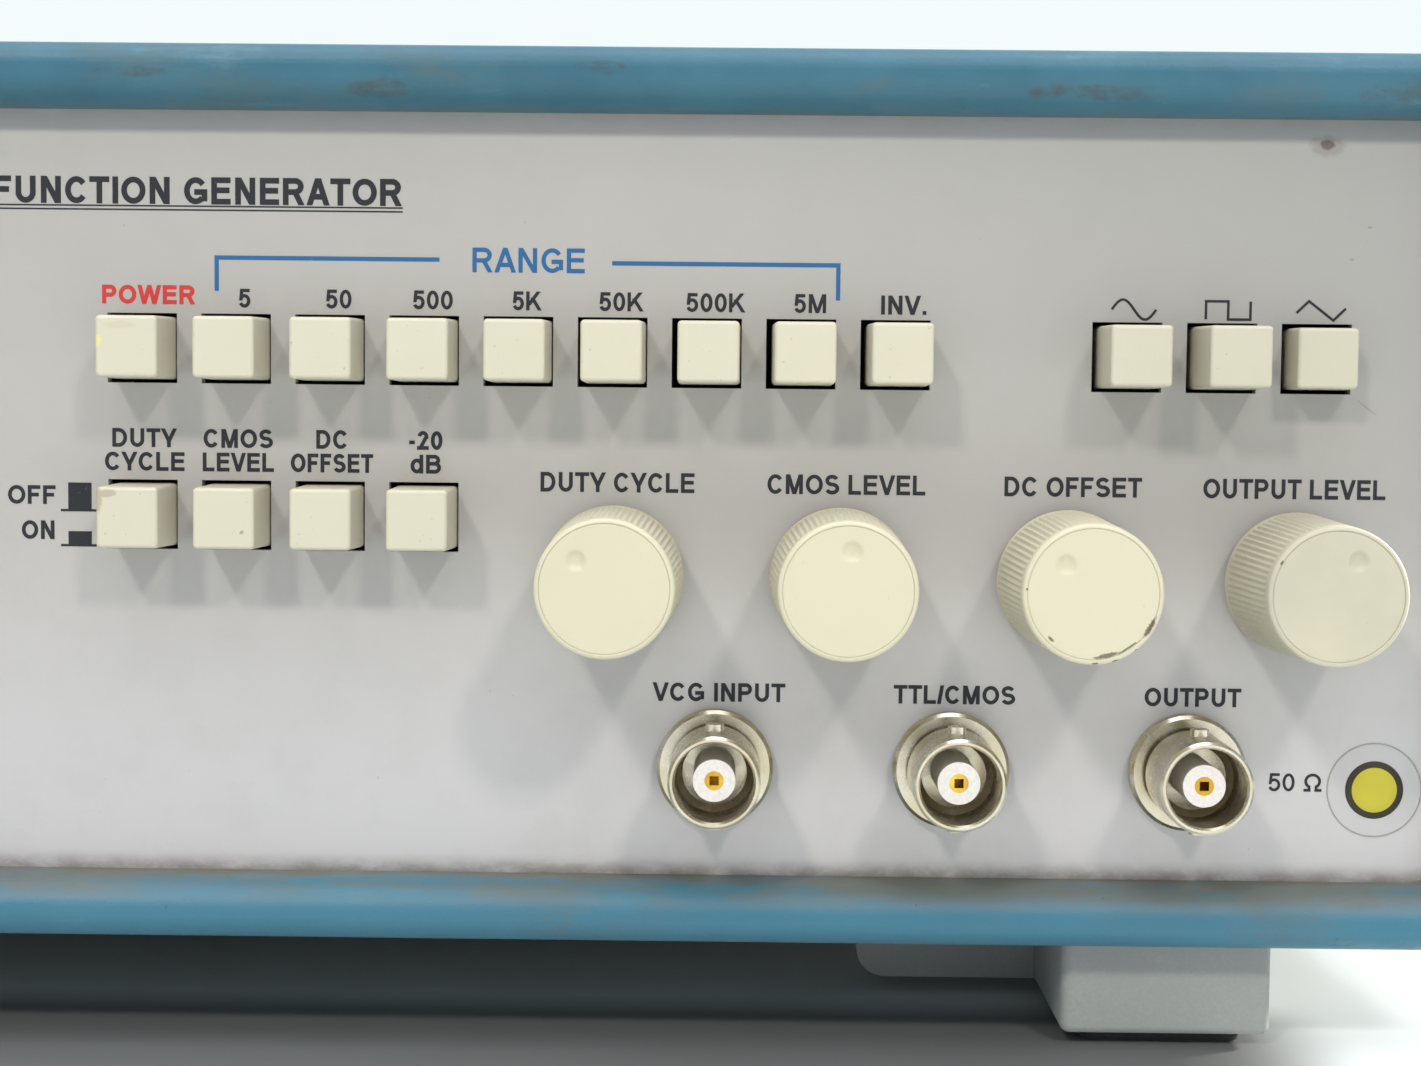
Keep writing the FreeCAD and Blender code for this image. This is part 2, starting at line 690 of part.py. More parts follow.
def foot_block(x, y0, y1, top):
    """A foot with rounded upright and lower edges."""
    half = FOOT_WIDTH / 2
    block = box(x - half, x + half, y0, y1, FOOT_BOTTOM, top)
    block = block.makeFillet(FOOT_SIDE_ROUND, edges_along(block, 2))
    low = [e for e in block.Edges if max(abs(v.Point.z - FOOT_BOTTOM) for v in e.Vertexes) < 1e-6]
    return block.makeFillet(FOOT_LOW_ROUND, low)


def front_foot(side):
    """A foot with a pocket behind it, open inwards and below, where the tilt leg turns."""
    step_y = PANEL_Y + FRAME_REACH - SKIRT_LENGTH
    x = side * FOOT_X
    pocket_y = PANEL_Y + FOOT_DEPTH
    pocket_depth = LEG_THICK + 2 * LEG_SIDE_PLAY
    back = pocket_y + pocket_depth + LEG_EAR
    block = foot_block(x, PANEL_Y, back, FRAME_BOTTOM + COVER_INSET)
    relief = box(x - FOOT_WIDTH, x + FOOT_WIDTH, PANEL_Y - 1, step_y, FRAME_BOTTOM, HEIGHT)
    inner = side * (FOOT_X - FOOT_WIDTH / 2 - 1)
    wall = side * (FOOT_X + FOOT_WIDTH / 2 - LEG_POCKET_WALL)
    pocket = box(min(inner, wall), max(inner, wall), pocket_y, pocket_y + pocket_depth,
                 0, LEG_Z + LEG_HEIGHT / 2 + LEG_TOP_PLAY)
    bore = rod_y(side * LEG_HINGE_X, LEG_Z, LEG_PIN, pocket_y - LEG_PIN_SEAT, back)
    return block.cut([relief, pocket, bore])


def feet():
    solids = [front_foot(-1), front_foot(1)]
    for side in (-1, 1):
        solids.append(foot_block(side * FOOT_X, REAR_FOOT_Y, REAR_FOOT_Y + FOOT_DEPTH,
                                 FRAME_BOTTOM + COVER_INSET))
    return group(solids)


def foot_pads():
    """A rubber pad under each foot."""
    pads = []
    for side in (-1, 1):
        for y0 in (PANEL_Y, REAR_FOOT_Y):
            half = FOOT_WIDTH / 2 - PAD_INSET
            x = side * FOOT_X
            pad = box(x - half, x + half, y0 + PAD_INSET, y0 + FOOT_DEPTH - PAD_INSET, 0, FOOT_BOTTOM)
            pads.append(pad.makeFillet(PAD_ROUND, edges_along(pad, 2)))
    return group(pads)


def tilt_leg(side):
    """A bar that lies inwards from its hinge when folded; its tip's corners are rounded."""
    y0 = PANEL_Y + FOOT_DEPTH + LEG_SIDE_PLAY
    y1 = y0 + LEG_THICK
    half = LEG_HEIGHT / 2
    hinge = side * LEG_HINGE_X
    tip = side * LEG_TIP_X
    bar = box(min(hinge, tip), max(hinge, tip), y0, y1, LEG_Z - half, LEG_Z + half)
    tip_edges = [e for e in edges_along(bar, 1) if abs(e.Vertexes[0].Point.x - tip) < 1e-6]
    bar = bar.makeFillet(LEG_TIP_ROUND, tip_edges)
    eye = rod_y(hinge, LEG_Z, half, y0, y1)
    bore = rod_y(hinge, LEG_Z, LEG_PIN + LEG_PIN_PLAY, y0, y1)
    return bar.fuse(eye).cut(bore).removeSplitter()


def leg_pins():
    y0 = PANEL_Y + FOOT_DEPTH - LEG_PIN_SEAT
    y1 = PANEL_Y + FOOT_DEPTH + LEG_THICK + 2 * LEG_SIDE_PLAY + LEG_EAR
    return group([rod_y(side * LEG_HINGE_X, LEG_Z, LEG_PIN, y0, y1) for side in (-1, 1)])


# Mains inlet

def inlet_block(y0, y1):
    """The inlet's body where it passes through the rear panel."""
    return box(INLET_X - INLET_WIDTH / 2 + INLET_LEDGE, INLET_X + INLET_WIDTH / 2 - INLET_LEDGE, y0, y1,
               INLET_BOTTOM + INLET_LEDGE, INLET_TOP - INLET_LEDGE)


def pin_places():
    """X and Z of the three blades: two side by side and the earth blade above and between them."""
    low = SOCKET_Z - PIN_DROP
    return [(INLET_X - PIN_SPACING, low), (INLET_X + PIN_SPACING, low), (INLET_X, SOCKET_Z + PIN_DROP)]


def mains_inlet():
    """The moulded body with the plug's socket and, above it, the fuse drawer's slot."""
    face = REAR_PANEL_Y + INLET_FLANGE
    half = INLET_WIDTH / 2
    flange = box(INLET_X - half, INLET_X + half, REAR_PANEL_Y, face, INLET_BOTTOM, INLET_TOP)
    flange = flange.makeFillet(2.0, edges_along(flange, 1))
    back = face - INLET_DEPTH
    body = flange.fuse(inlet_block(back, REAR_PANEL_Y))
    socket = centred_box(INLET_X, SOCKET_Z, SOCKET_WIDTH, SOCKET_HEIGHT, face - SOCKET_DEPTH, face + 1)
    top_edges = [e for e in edges_along(socket, 1) if e.Vertexes[0].Point.z > SOCKET_Z]
    socket = socket.makeChamfer(SOCKET_CHAMFER, top_edges)
    slot = centred_box(INLET_X, DRAWER_Z, DRAWER_WIDTH + 2 * DRAWER_PLAY, DRAWER_HEIGHT + 2 * DRAWER_PLAY,
                       face - DRAWER_DEPTH - 1, face + 1)
    blades = [centred_box(x, z, PIN_WIDTH, PIN_HEIGHT, back, face) for x, z in pin_places()]
    return body.cut([socket, slot] + blades).removeSplitter()


def inlet_pins():
    """Three flat blades with their tails behind the body."""
    face = REAR_PANEL_Y + INLET_FLANGE
    y0 = face - INLET_DEPTH - PIN_TAIL
    y1 = face - SOCKET_DEPTH + PIN_LENGTH
    blades = []
    for x, z in pin_places():
        blade = centred_box(x, z, PIN_WIDTH, PIN_HEIGHT, y0, y1)
        blades.append(blade.makeChamfer(0.5, edges_at_y(blade, y1)))
    return group(blades)


def fuse_middle():
    """Y and Z of the fuse's axis in the closed drawer."""
    return REAR_PANEL_Y + INLET_FLANGE - DRAWER_DEPTH / 2, DRAWER_Z + 0.6


def fuse_drawer():
    """A drawer with a trough for the fuse and a finger lip at its front."""
    face = REAR_PANEL_Y + INLET_FLANGE
    y, z = fuse_middle()
    tray = centred_box(INLET_X, DRAWER_Z, DRAWER_WIDTH, DRAWER_HEIGHT,
                       face - DRAWER_DEPTH, face + DRAWER_PROUD)
    half = FUSE_LENGTH / 2 + 0.2
    trough = box(INLET_X - half, INLET_X + half, y - FUSE_CAP_RADIUS - 0.2, y + FUSE_CAP_RADIUS + 0.2,
                 z - FUSE_CAP_RADIUS, DRAWER_Z + DRAWER_HEIGHT)
    finger = centred_box(INLET_X, DRAWER_Z + 1.5, 9.0, 1.2, face - 0.8, face + 1)
    return tray.cut([trough, finger])


def fuse():
    """A glass tube with a metal cap on each end."""
    y, z = fuse_middle()
    half = FUSE_LENGTH / 2
    inner = half - FUSE_CAP_LENGTH
    glass = rod_x(y, z, FUSE_RADIUS, INLET_X - inner, INLET_X + inner)
    caps = [
        rod_x(y, z, FUSE_CAP_RADIUS, INLET_X - half, INLET_X - inner),
        rod_x(y, z, FUSE_CAP_RADIUS, INLET_X + inner, INLET_X + half),
    ]
    return group([glass] + caps)


# Inside

def side_rail(side):
    """A C-shaped rail that ties the front and rear panels, with a tab at each end."""
    z0 = SEAM_Z - RAIL_HEIGHT / 2
    z1 = SEAM_Z + RAIL_HEIGHT / 2
    outer = side * RAIL_OUTER_X
    inner = side * (RAIL_OUTER_X - RAIL_WIDTH)
    bar = box(min(outer, inner), max(outer, inner), SUB_PANEL_BACK, REAR_PANEL_FRONT, z0, z1)
    web = side * (RAIL_OUTER_X - RAIL_SHEET)
    past = side * (RAIL_OUTER_X - RAIL_WIDTH - 1)
    channel = box(min(web, past), max(web, past), SUB_PANEL_BACK + RAIL_SHEET, REAR_PANEL_FRONT - RAIL_SHEET,
                  z0 + RAIL_SHEET, z1 - RAIL_SHEET)
    holes = side_screw_holes()
    for x, z in rear_screw_places():
        holes.append(rod_y(x, z, SCREW_RADIUS, REAR_PANEL_FRONT - 10, REAR_PANEL_FRONT))
    return bar.cut([channel] + holes)


def main_board():
    return box(*MAIN_BOARD_X, *MAIN_BOARD_Y, MAIN_BOARD_Z, MAIN_BOARD_Z + BOARD_THICK)


def board_standoffs():
    """Posts between the bottom cover and the main board's corners."""
    z0 = FRAME_BOTTOM + COVER_INSET + COVER_SHEET
    posts = []
    for x in (MAIN_BOARD_X[0] + STANDOFF_INSET, MAIN_BOARD_X[1] - STANDOFF_INSET):
        for y in (MAIN_BOARD_Y[0] + STANDOFF_INSET, MAIN_BOARD_Y[1] - STANDOFF_INSET):
            posts.append(rod_z(x, y, STANDOFF_RADIUS, z0, MAIN_BOARD_Z))
    return group(posts)


def filter_capacitors():
    z0 = MAIN_BOARD_Z + BOARD_THICK
    cans = []
    for x, y in FILTER_CAPS:
        can = rod_z(x, y, FILTER_CAP_RADIUS, z0, z0 + FILTER_CAP_HEIGHT)
        cans.append(can.makeFillet(1.0, [e for e in can.Edges if len(e.Vertexes) == 1]))
    return group(cans)


def heat_sink():
    """An upright finned block for the output stage."""
    z0 = MAIN_BOARD_Z + BOARD_THICK
    sink = box(*SINK_X, *SINK_Y, z0, z0 + SINK_HEIGHT)
    width = SINK_FIN_PITCH - SINK_FIN
    gaps = []
    x = SINK_X[0] + SINK_FIN
    while x + width < SINK_X[1]:
        gaps.append(box(x, x + width, SINK_Y[0] + SINK_BASE, SINK_Y[1], z0, z0 + SINK_HEIGHT))
        x += SINK_FIN_PITCH
    return sink.cut(gaps)


def transformer_core():
    """A laminated core with a window each side of its middle leg."""
    z0 = FRAME_BOTTOM + COVER_INSET + COVER_SHEET
    y0 = TRANSFORMER_Y - CORE_STACK / 2
    core = box(TRANSFORMER_X - CORE_WIDTH / 2, TRANSFORMER_X + CORE_WIDTH / 2, y0, y0 + CORE_STACK,
               z0, z0 + CORE_HEIGHT)
    windows = []
    for side in (-1, 1):
        x = TRANSFORMER_X + side * 1.5 * CORE_LEG
        windows.append(box(x - CORE_LEG / 2, x + CORE_LEG / 2, y0, y0 + CORE_STACK,
                           z0 + CORE_LEG, z0 + CORE_HEIGHT - CORE_LEG))
    return core.cut(windows)


def transformer_winding():
    """The wound bobbin round the core's middle leg."""
    z0 = FRAME_BOTTOM + COVER_INSET + COVER_SHEET + CORE_LEG + 0.3
    z1 = FRAME_BOTTOM + COVER_INSET + COVER_SHEET + CORE_HEIGHT - CORE_LEG - 0.3
    reach = CORE_STACK / 2 + WINDING_OVERHANG
    half = 2 * CORE_LEG - 0.3
    coil = box(TRANSFORMER_X - half, TRANSFORMER_X + half, TRANSFORMER_Y - reach, TRANSFORMER_Y + reach,
               z0, z1)
    coil = coil.makeFillet(4.0, edges_along(coil, 2))
    leg = CORE_LEG + 0.3
    bore = box(TRANSFORMER_X - leg, TRANSFORMER_X + leg, TRANSFORMER_Y - CORE_STACK / 2 - 0.3,
               TRANSFORMER_Y + CORE_STACK / 2 + 0.3, z0, z1)
    return coil.cut(bore)


def ribbon_cable():
    """A flat cable from the back of the front board, bending down onto the main board."""
    y0 = PANEL_Y + SWITCH_FRONT + SWITCH_DEPTH + BOARD_THICK
    z_end = MAIN_BOARD_Z + BOARD_THICK
    x0 = RIBBON_X - RIBBON_WIDTH / 2
    y_bend = y0 + RIBBON_LEAD
    z_bend = RIBBON_Z - RIBBON_BEND
    half_turn = math.sqrt(0.5)

    def quarter(radius):
        """The bend's arc at a radius, from its level end to its upright end."""
        middle = V(x0, y_bend + radius * half_turn, z_bend + radius * half_turn)
        return Part.Arc(V(x0, y_bend, z_bend + radius), middle, V(x0, y_bend + radius, z_bend)).toShape()

    outer = RIBBON_BEND
    inner = RIBBON_BEND - RIBBON_THICK
    edges = [
        Part.makeLine(V(x0, y0, z_bend + outer), V(x0, y_bend, z_bend + outer)),
        quarter(outer),
        Part.makeLine(V(x0, y_bend + outer, z_bend), V(x0, y_bend + outer, z_end)),
        Part.makeLine(V(x0, y_bend + outer, z_end), V(x0, y_bend + inner, z_end)),
        Part.makeLine(V(x0, y_bend + inner, z_end), V(x0, y_bend + inner, z_bend)),
        quarter(inner),
        Part.makeLine(V(x0, y_bend, z_bend + inner), V(x0, y0, z_bend + inner)),
        Part.makeLine(V(x0, y0, z_bend + inner), V(x0, y0, z_bend + outer)),
    ]
    section = Part.Face(Part.Wire(Part.__sortEdges__(edges)))
    return section.extrude(V(RIBBON_WIDTH, 0, 0))


# Screws

def rear_screw_places():
    return [(side * REAR_SCREW_X, SEAM_Z + step) for side in (-1, 1) for step in (-SCREW_STEP, SCREW_STEP)]


def case_screws():
    """Pan-head screws: four in each side of the covers, and four through the rear panel."""
    seat = WIDTH / 2 - COVER_INSET
    screws = []
    for y, z in screw_places():
        for side in (-1, 1):
            shank = rod_x(y, z, SCREW_RADIUS, side * (seat - SCREW_LENGTH), side * seat)
            head = rod_x(y, z, SCREW_HEAD, side * seat, side * (seat + SCREW_HEAD_HEIGHT))
            screws.append(shank.fuse(head))
    for x, z in rear_screw_places():
        shank = rod_y(x, z, SCREW_RADIUS, REAR_PANEL_Y - SCREW_LENGTH, REAR_PANEL_Y)
        head = rod_y(x, z, SCREW_HEAD, REAR_PANEL_Y, REAR_PANEL_Y + SCREW_HEAD_HEIGHT)
        screws.append(shank.fuse(head))
    return group(screws)


# Assembly

def all_nodes():
    """Every node's name and shape."""
    nodes = {
        "front_bezel": front_bezel(),
        "rear_frame": rear_frame(),
        "top_cover": top_cover(),
        "bottom_cover": bottom_cover(),
        "front_panel": front_panel(),
        "sub_panel": sub_panel(),
        "rear_panel": rear_panel(),
        "display_window": display_window(),
        "display_module": display_module(),
        "front_board": front_board(),
        "power_switch": switch_bank(["power"], POWER_SWITCH_DEPTH),
        "switch_banks": switch_banks(),
        "potentiometers": potentiometers(),
        "panel_nuts": panel_nuts(),
        "jack_insulators": group([jack_insulator(x) for _, x in JACKS]),
        "jack_contacts": group([jack_contact(x) for _, x in JACKS]),
        "feet": feet(),
        "foot_pads": foot_pads(),
        "leg_pins": leg_pins(),
        "left_tilt_leg": tilt_leg(-1),
        "right_tilt_leg": tilt_leg(1),
        "mains_inlet": mains_inlet(),
        "inlet_pins": inlet_pins(),
        "fuse_drawer": fuse_drawer(),
        "fuse": fuse(),
        "side_rails": group([side_rail(-1), side_rail(1)]),
        "main_board": main_board(),
        "board_standoffs": board_standoffs(),
        "filter_capacitors": filter_capacitors(),
        "heat_sink": heat_sink(),
        "transformer_core": transformer_core(),
        "transformer_winding": transformer_winding(),
        "ribbon_cable": ribbon_cable(),
        "case_screws": case_screws(),
    }
    for name, x in JACKS:
        nodes[name] = jack_shell(x)
    for name, (x, z, out) in button_places().items():
        nodes[name + "_button"] = button(x, z, out)
    for name, x, radius, pointer in KNOBS:
        nodes[name + "_knob"] = knob(x, radius, pointer)
    return nodes


def main():
    nodes = all_nodes()
    for name, shape in sorted(nodes.items()):
        state = "valid" if shape.isValid() else "INVALID"
        print(f"{name:26s} {len(shape.Solids):3d} solids {shape.Volume:12.1f} mm3 {state}")
        shape.exportStep(f"parts/{name}.step")
    whole = group(list(nodes.values())).BoundBox
    print("nodes", len(nodes))
    print("X", whole.XMin, whole.XMax, "Y", whole.YMin, whole.YMax, "Z", whole.ZMin, whole.ZMax)


main()
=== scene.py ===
import json
import math

import bmesh
import bpy
from mathutils import Euler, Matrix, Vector

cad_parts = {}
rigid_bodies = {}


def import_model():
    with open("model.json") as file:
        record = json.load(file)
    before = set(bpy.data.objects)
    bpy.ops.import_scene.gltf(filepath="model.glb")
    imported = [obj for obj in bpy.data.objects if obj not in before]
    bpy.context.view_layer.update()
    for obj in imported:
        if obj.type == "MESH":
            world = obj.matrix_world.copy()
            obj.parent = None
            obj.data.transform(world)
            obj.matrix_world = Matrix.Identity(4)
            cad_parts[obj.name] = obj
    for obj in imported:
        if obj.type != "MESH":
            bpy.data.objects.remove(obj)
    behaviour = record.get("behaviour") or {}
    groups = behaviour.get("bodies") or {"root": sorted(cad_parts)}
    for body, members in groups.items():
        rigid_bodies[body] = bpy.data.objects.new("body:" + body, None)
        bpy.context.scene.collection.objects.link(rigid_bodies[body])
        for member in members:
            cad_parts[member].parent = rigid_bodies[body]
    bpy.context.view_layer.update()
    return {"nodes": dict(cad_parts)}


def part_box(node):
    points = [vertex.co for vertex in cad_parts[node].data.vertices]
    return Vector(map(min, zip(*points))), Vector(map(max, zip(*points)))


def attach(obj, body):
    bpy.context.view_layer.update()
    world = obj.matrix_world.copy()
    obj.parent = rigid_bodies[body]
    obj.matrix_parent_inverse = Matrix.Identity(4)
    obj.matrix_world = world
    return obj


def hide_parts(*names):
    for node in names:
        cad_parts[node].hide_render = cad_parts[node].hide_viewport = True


for left_over in list(bpy.data.objects):
    bpy.data.objects.remove(left_over)
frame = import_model()
NODES = frame["nodes"]

# Lengths below are millimetres in the CAD frame; meshes are written in metres.
MM = 0.001
PANEL_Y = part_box("front_panel")[0].y / MM
# Edges of the panel that the bezel leaves in view
OPENING_LOW = 18.2
OPENING_HIGH = 99.2
OPENING_SIDE = 119.0


def tint(red, green, blue):
    """A linear colour from screen values of 0 to 255."""
    linear = []
    for value in (red, green, blue):
        share = value / 255
        linear.append(share / 12.92 if share <= 0.04045 else ((share + 0.055) / 1.055) ** 2.4)
    return (*linear, 1.0)


# ---------------------------------------------------------------- materials


class Finish:
    """A procedural material whose textures lie in the CAD frame, in millimetres."""

    def __init__(self, name, roughness=0.5, **surface):
        self.material = bpy.data.materials.new(name)
        self.material.use_nodes = True
        self.tree = self.material.node_tree
        self.shader = self.tree.nodes["Principled BSDF"]
        self.shader.inputs["Roughness"].default_value = roughness
        for socket, value in surface.items():
            self.shader.inputs[socket.replace("_", " ")].default_value = value
        where = self.node("ShaderNodeTexCoord").outputs["Object"]
        self.place = self.vector("MULTIPLY", where, (1 / MM,) * 3)
        parts = self.node("ShaderNodeSeparateXYZ", {0: self.place})
        self.x, self.y, self.z = parts.outputs

    def node(self, kind, inputs=None, **settings):
        made = self.tree.nodes.new(kind)
        for key, value in settings.items():
            setattr(made, key, value)
        for key, value in (inputs or {}).items():
            self.feed(made.inputs[key], value)
        return made

    def feed(self, socket, value):
        if isinstance(value, bpy.types.NodeSocket):
            self.tree.links.new(value, socket)
        else:
            socket.default_value = value

    def vector(self, operation, first, second):
        return self.node("ShaderNodeVectorMath", {0: first, 1: second}, operation=operation).outputs[0]

    def maths(self, operation, first, second=0.0):
        return self.node("ShaderNodeMath", {0: first, 1: second}, operation=operation).outputs[0]

    def noise(self, size, detail=4.0, rough=0.55, stretch=(1.0, 1.0, 1.0), seed=0.0):
        """Cloudy noise of 0 to 1 whose features are about size millimetres."""
        place = self.vector("MULTIPLY", self.place, stretch)
        moved = self.vector("ADD", place, (seed, seed, seed))
        inputs = {"Vector": moved, "Scale": 1 / size, "Detail": detail, "Roughness": rough}
        return self.node("ShaderNodeTexNoise", inputs).outputs["Fac"]

    def ramp(self, value, low, high):
        """0 at low and 1 at high, smooth between; low may be the larger."""
        inputs = {"Value": value, "From Min": low, "From Max": high}
        return self.node("ShaderNodeMapRange", inputs, interpolation_type="SMOOTHSTEP").outputs["Result"]

    def both(self, first, second):
        return self.maths("MULTIPLY", first, second)

    def either(self, first, second):
        return self.maths("MAXIMUM", first, second)

    def mix(self, share, first, second):
        made = self.node("ShaderNodeMix", {0: share}, data_type="RGBA")
        self.feed(made.inputs[6], first)
        self.feed(made.inputs[7], second)
        return made.outputs[2]

    def blotch(self, x, z, length, width, turn=0.0, ragged=0.35, grain=0.8):
        """A ragged mark of 0 to 1 on a face that looks along -Y: length along its own turned X."""
        moved = self.vector("SUBTRACT", self.place, (x, 0.0, z))
        turned = self.node("ShaderNodeVectorRotate", {"Vector": moved, "Angle": math.radians(turn)},
                           rotation_type="Y_AXIS").outputs[0]
        scaled = self.vector("MULTIPLY", turned, (2 / length, 0.0, 2 / width))
        reach = self.node("ShaderNodeVectorMath", {0: scaled}, operation="LENGTH").outputs["Value"]
        shaken = self.maths("ADD", reach, self.maths("MULTIPLY", self.noise(grain, seed=x), ragged * 2))
        return self.ramp(shaken, 1.0 + ragged + 0.25, 1.0 + ragged - 0.25)

    def marks(self, places, **settings):
        """Every blotch of a list in one mask."""
        found = 0.0
        for place in places:
            found = self.either(self.blotch(*place, **settings), found)
        return found

    def colour(self, value):
        self.feed(self.shader.inputs["Base Color"], value)

    def roughness(self, value, low, high):
        inputs = {"Value": value, "To Min": low, "To Max": high}
        rough = self.node("ShaderNodeMapRange", inputs).outputs["Result"]
        self.feed(self.shader.inputs["Roughness"], rough)

    def bump(self, height, depth, below=None):
        """Raises the surface by up to depth millimetres where height is 1."""
        inputs = {"Height": height, "Distance": depth * MM, "Strength": 1.0}
        if below is not None:
            inputs["Normal"] = below
        normal = self.node("ShaderNodeBump", inputs).outputs["Normal"]
        self.feed(self.shader.inputs["Normal"], normal)
        return normal


def moulded(name, shade, dark, roughness=0.45, grain=0.35, relief=0.02, **surface):
    """Moulded plastic: slightly uneven colour over a fine grain."""
    made = Finish(name, **surface)
    cloud = made.noise(14.0, 5.0)
    fine = made.noise(grain, 3.0)
    made.colour(made.mix(made.ramp(made.both(cloud, fine), 0.12, 0.42), dark, shade))
    made.roughness(cloud, roughness - 0.08, roughness + 0.1)
    made.bump(fine, relief)
    return made


def metal(name, shade, dull, roughness=0.3, grain=0.6, stretch=(1.0, 1.0, 1.0), relief=0.01):
    """Bare or plated metal with dulled patches and fine marks."""
    made = Finish(name, Metallic=1.0)
    patches = made.noise(5.0, 6.0, 0.6)
    fine = made.noise(grain, 4.0, 0.6, stretch)
    made.colour(made.mix(made.ramp(patches, 0.35, 0.65), dull, shade))
    made.roughness(made.both(patches, fine), roughness - 0.08, roughness + 0.35)
    made.bump(fine, relief)
    return made


def frame_plastic():
    """Blue-green plastic with scuffs, hand dirt on the top bar, grime where it meets the panel and painted
    light on the lower bar.
    """
    made = Finish("frame_plastic", IOR=1.45)
    cloud = made.noise(22.0, 5.0, 0.6)
    body = made.mix(made.ramp(cloud, 0.3, 0.7), tint(44, 93, 112), tint(54, 104, 122))
    # Painted light: the lower bar is made lighter, standing in for light bounced up from the bench; the
    # same mask also makes the grime stronger there.
    low_bar = made.ramp(made.z, 40.0, 20.0)
    body = made.mix(made.both(low_bar, 0.5), body, tint(64, 124, 148))
    streak = made.noise(7.0, 6.0, 0.7, stretch=(0.25, 1.0, 1.0))
    worn = made.both(made.ramp(streak, 0.56, 0.75), 0.35)
    body = made.mix(worn, body, tint(128, 158, 164))
    smudge = made.both(made.ramp(made.noise(13.0, 7.0, 0.72, (0.45, 1.0, 1.0), 31.0), 0.52, 0.72), 0.55)
    body = made.mix(smudge, body, tint(88, 98, 96))
    depth = made.maths("SUBTRACT", PANEL_Y, made.y)
    across = made.maths("ABSOLUTE", made.x)
    near_side = made.ramp(across, OPENING_SIDE + 2.4, OPENING_SIDE + 1.4)
    near_low = made.ramp(made.z, OPENING_LOW - 2.4, OPENING_LOW - 1.4)
    near_high = made.ramp(made.z, OPENING_HIGH + 2.4, OPENING_HIGH + 1.4)
    inside = made.both(near_side, made.both(near_low, near_high))
    near_panel = made.both(made.ramp(depth, 3.4, 0.2), made.both(made.ramp(depth, -3.0, -1.0), inside))
    grime = made.both(near_panel, made.ramp(made.noise(4.0, 6.0, 0.65, (0.4, 1.0, 1.0), 7.0), 0.25, 0.62))
    strength = made.maths("ADD", 0.35, made.both(low_bar, 0.55))
    body = made.mix(made.both(grime, strength), body, tint(128, 126, 116))
    caught = made.both(made.ramp(made.z, 15.0, 17.6), made.ramp(made.z, 19.6, 18.6))
    patchy = made.ramp(made.noise(5.0, 6.0, 0.7, (0.3, 1.0, 1.0), 19.0), 0.3, 0.6)
    facing = made.ramp(made.y, PANEL_Y + 6.0, PANEL_Y + 2.0)
    strip = made.both(made.both(caught, patchy), facing)
    body = made.mix(made.both(strip, 0.75), body, tint(104, 98, 82))
    smears = made.marks([(6.0, 101.0, 9.0, 1.6), (29.0, 103.2, 5.0, 1.2), (80.0, 101.2, 14.0, 1.4),
                         (115.0, 101.4, 12.0, 2.6), (-20.0, 102.4, 8.0, 1.0)], ragged=1.1, grain=3.0)
    broken = made.ramp(made.noise(1.8, 6.0, 0.75, (0.5, 1.0, 1.0), 27.0), 0.36, 0.66)
    body = made.mix(made.both(made.both(smears, broken), made.both(facing, 0.7)), body, tint(64, 66, 58))
    specks = made.ramp(made.noise(0.9, 2.0, 0.5, seed=3.0), 0.75, 0.8)
    body = made.mix(made.both(specks, 0.5), body, tint(60, 66, 62))
    pale = made.ramp(made.noise(0.6, 2.0, 0.5, seed=11.0), 0.8, 0.84)
    body = made.mix(made.both(pale, 0.3), body, tint(170, 188, 188))
    made.colour(body)
    made.roughness(made.either(smudge, grime), 0.42, 0.75)
    made.bump(made.noise(0.5, 5.0, 0.6), 0.05)
    return made


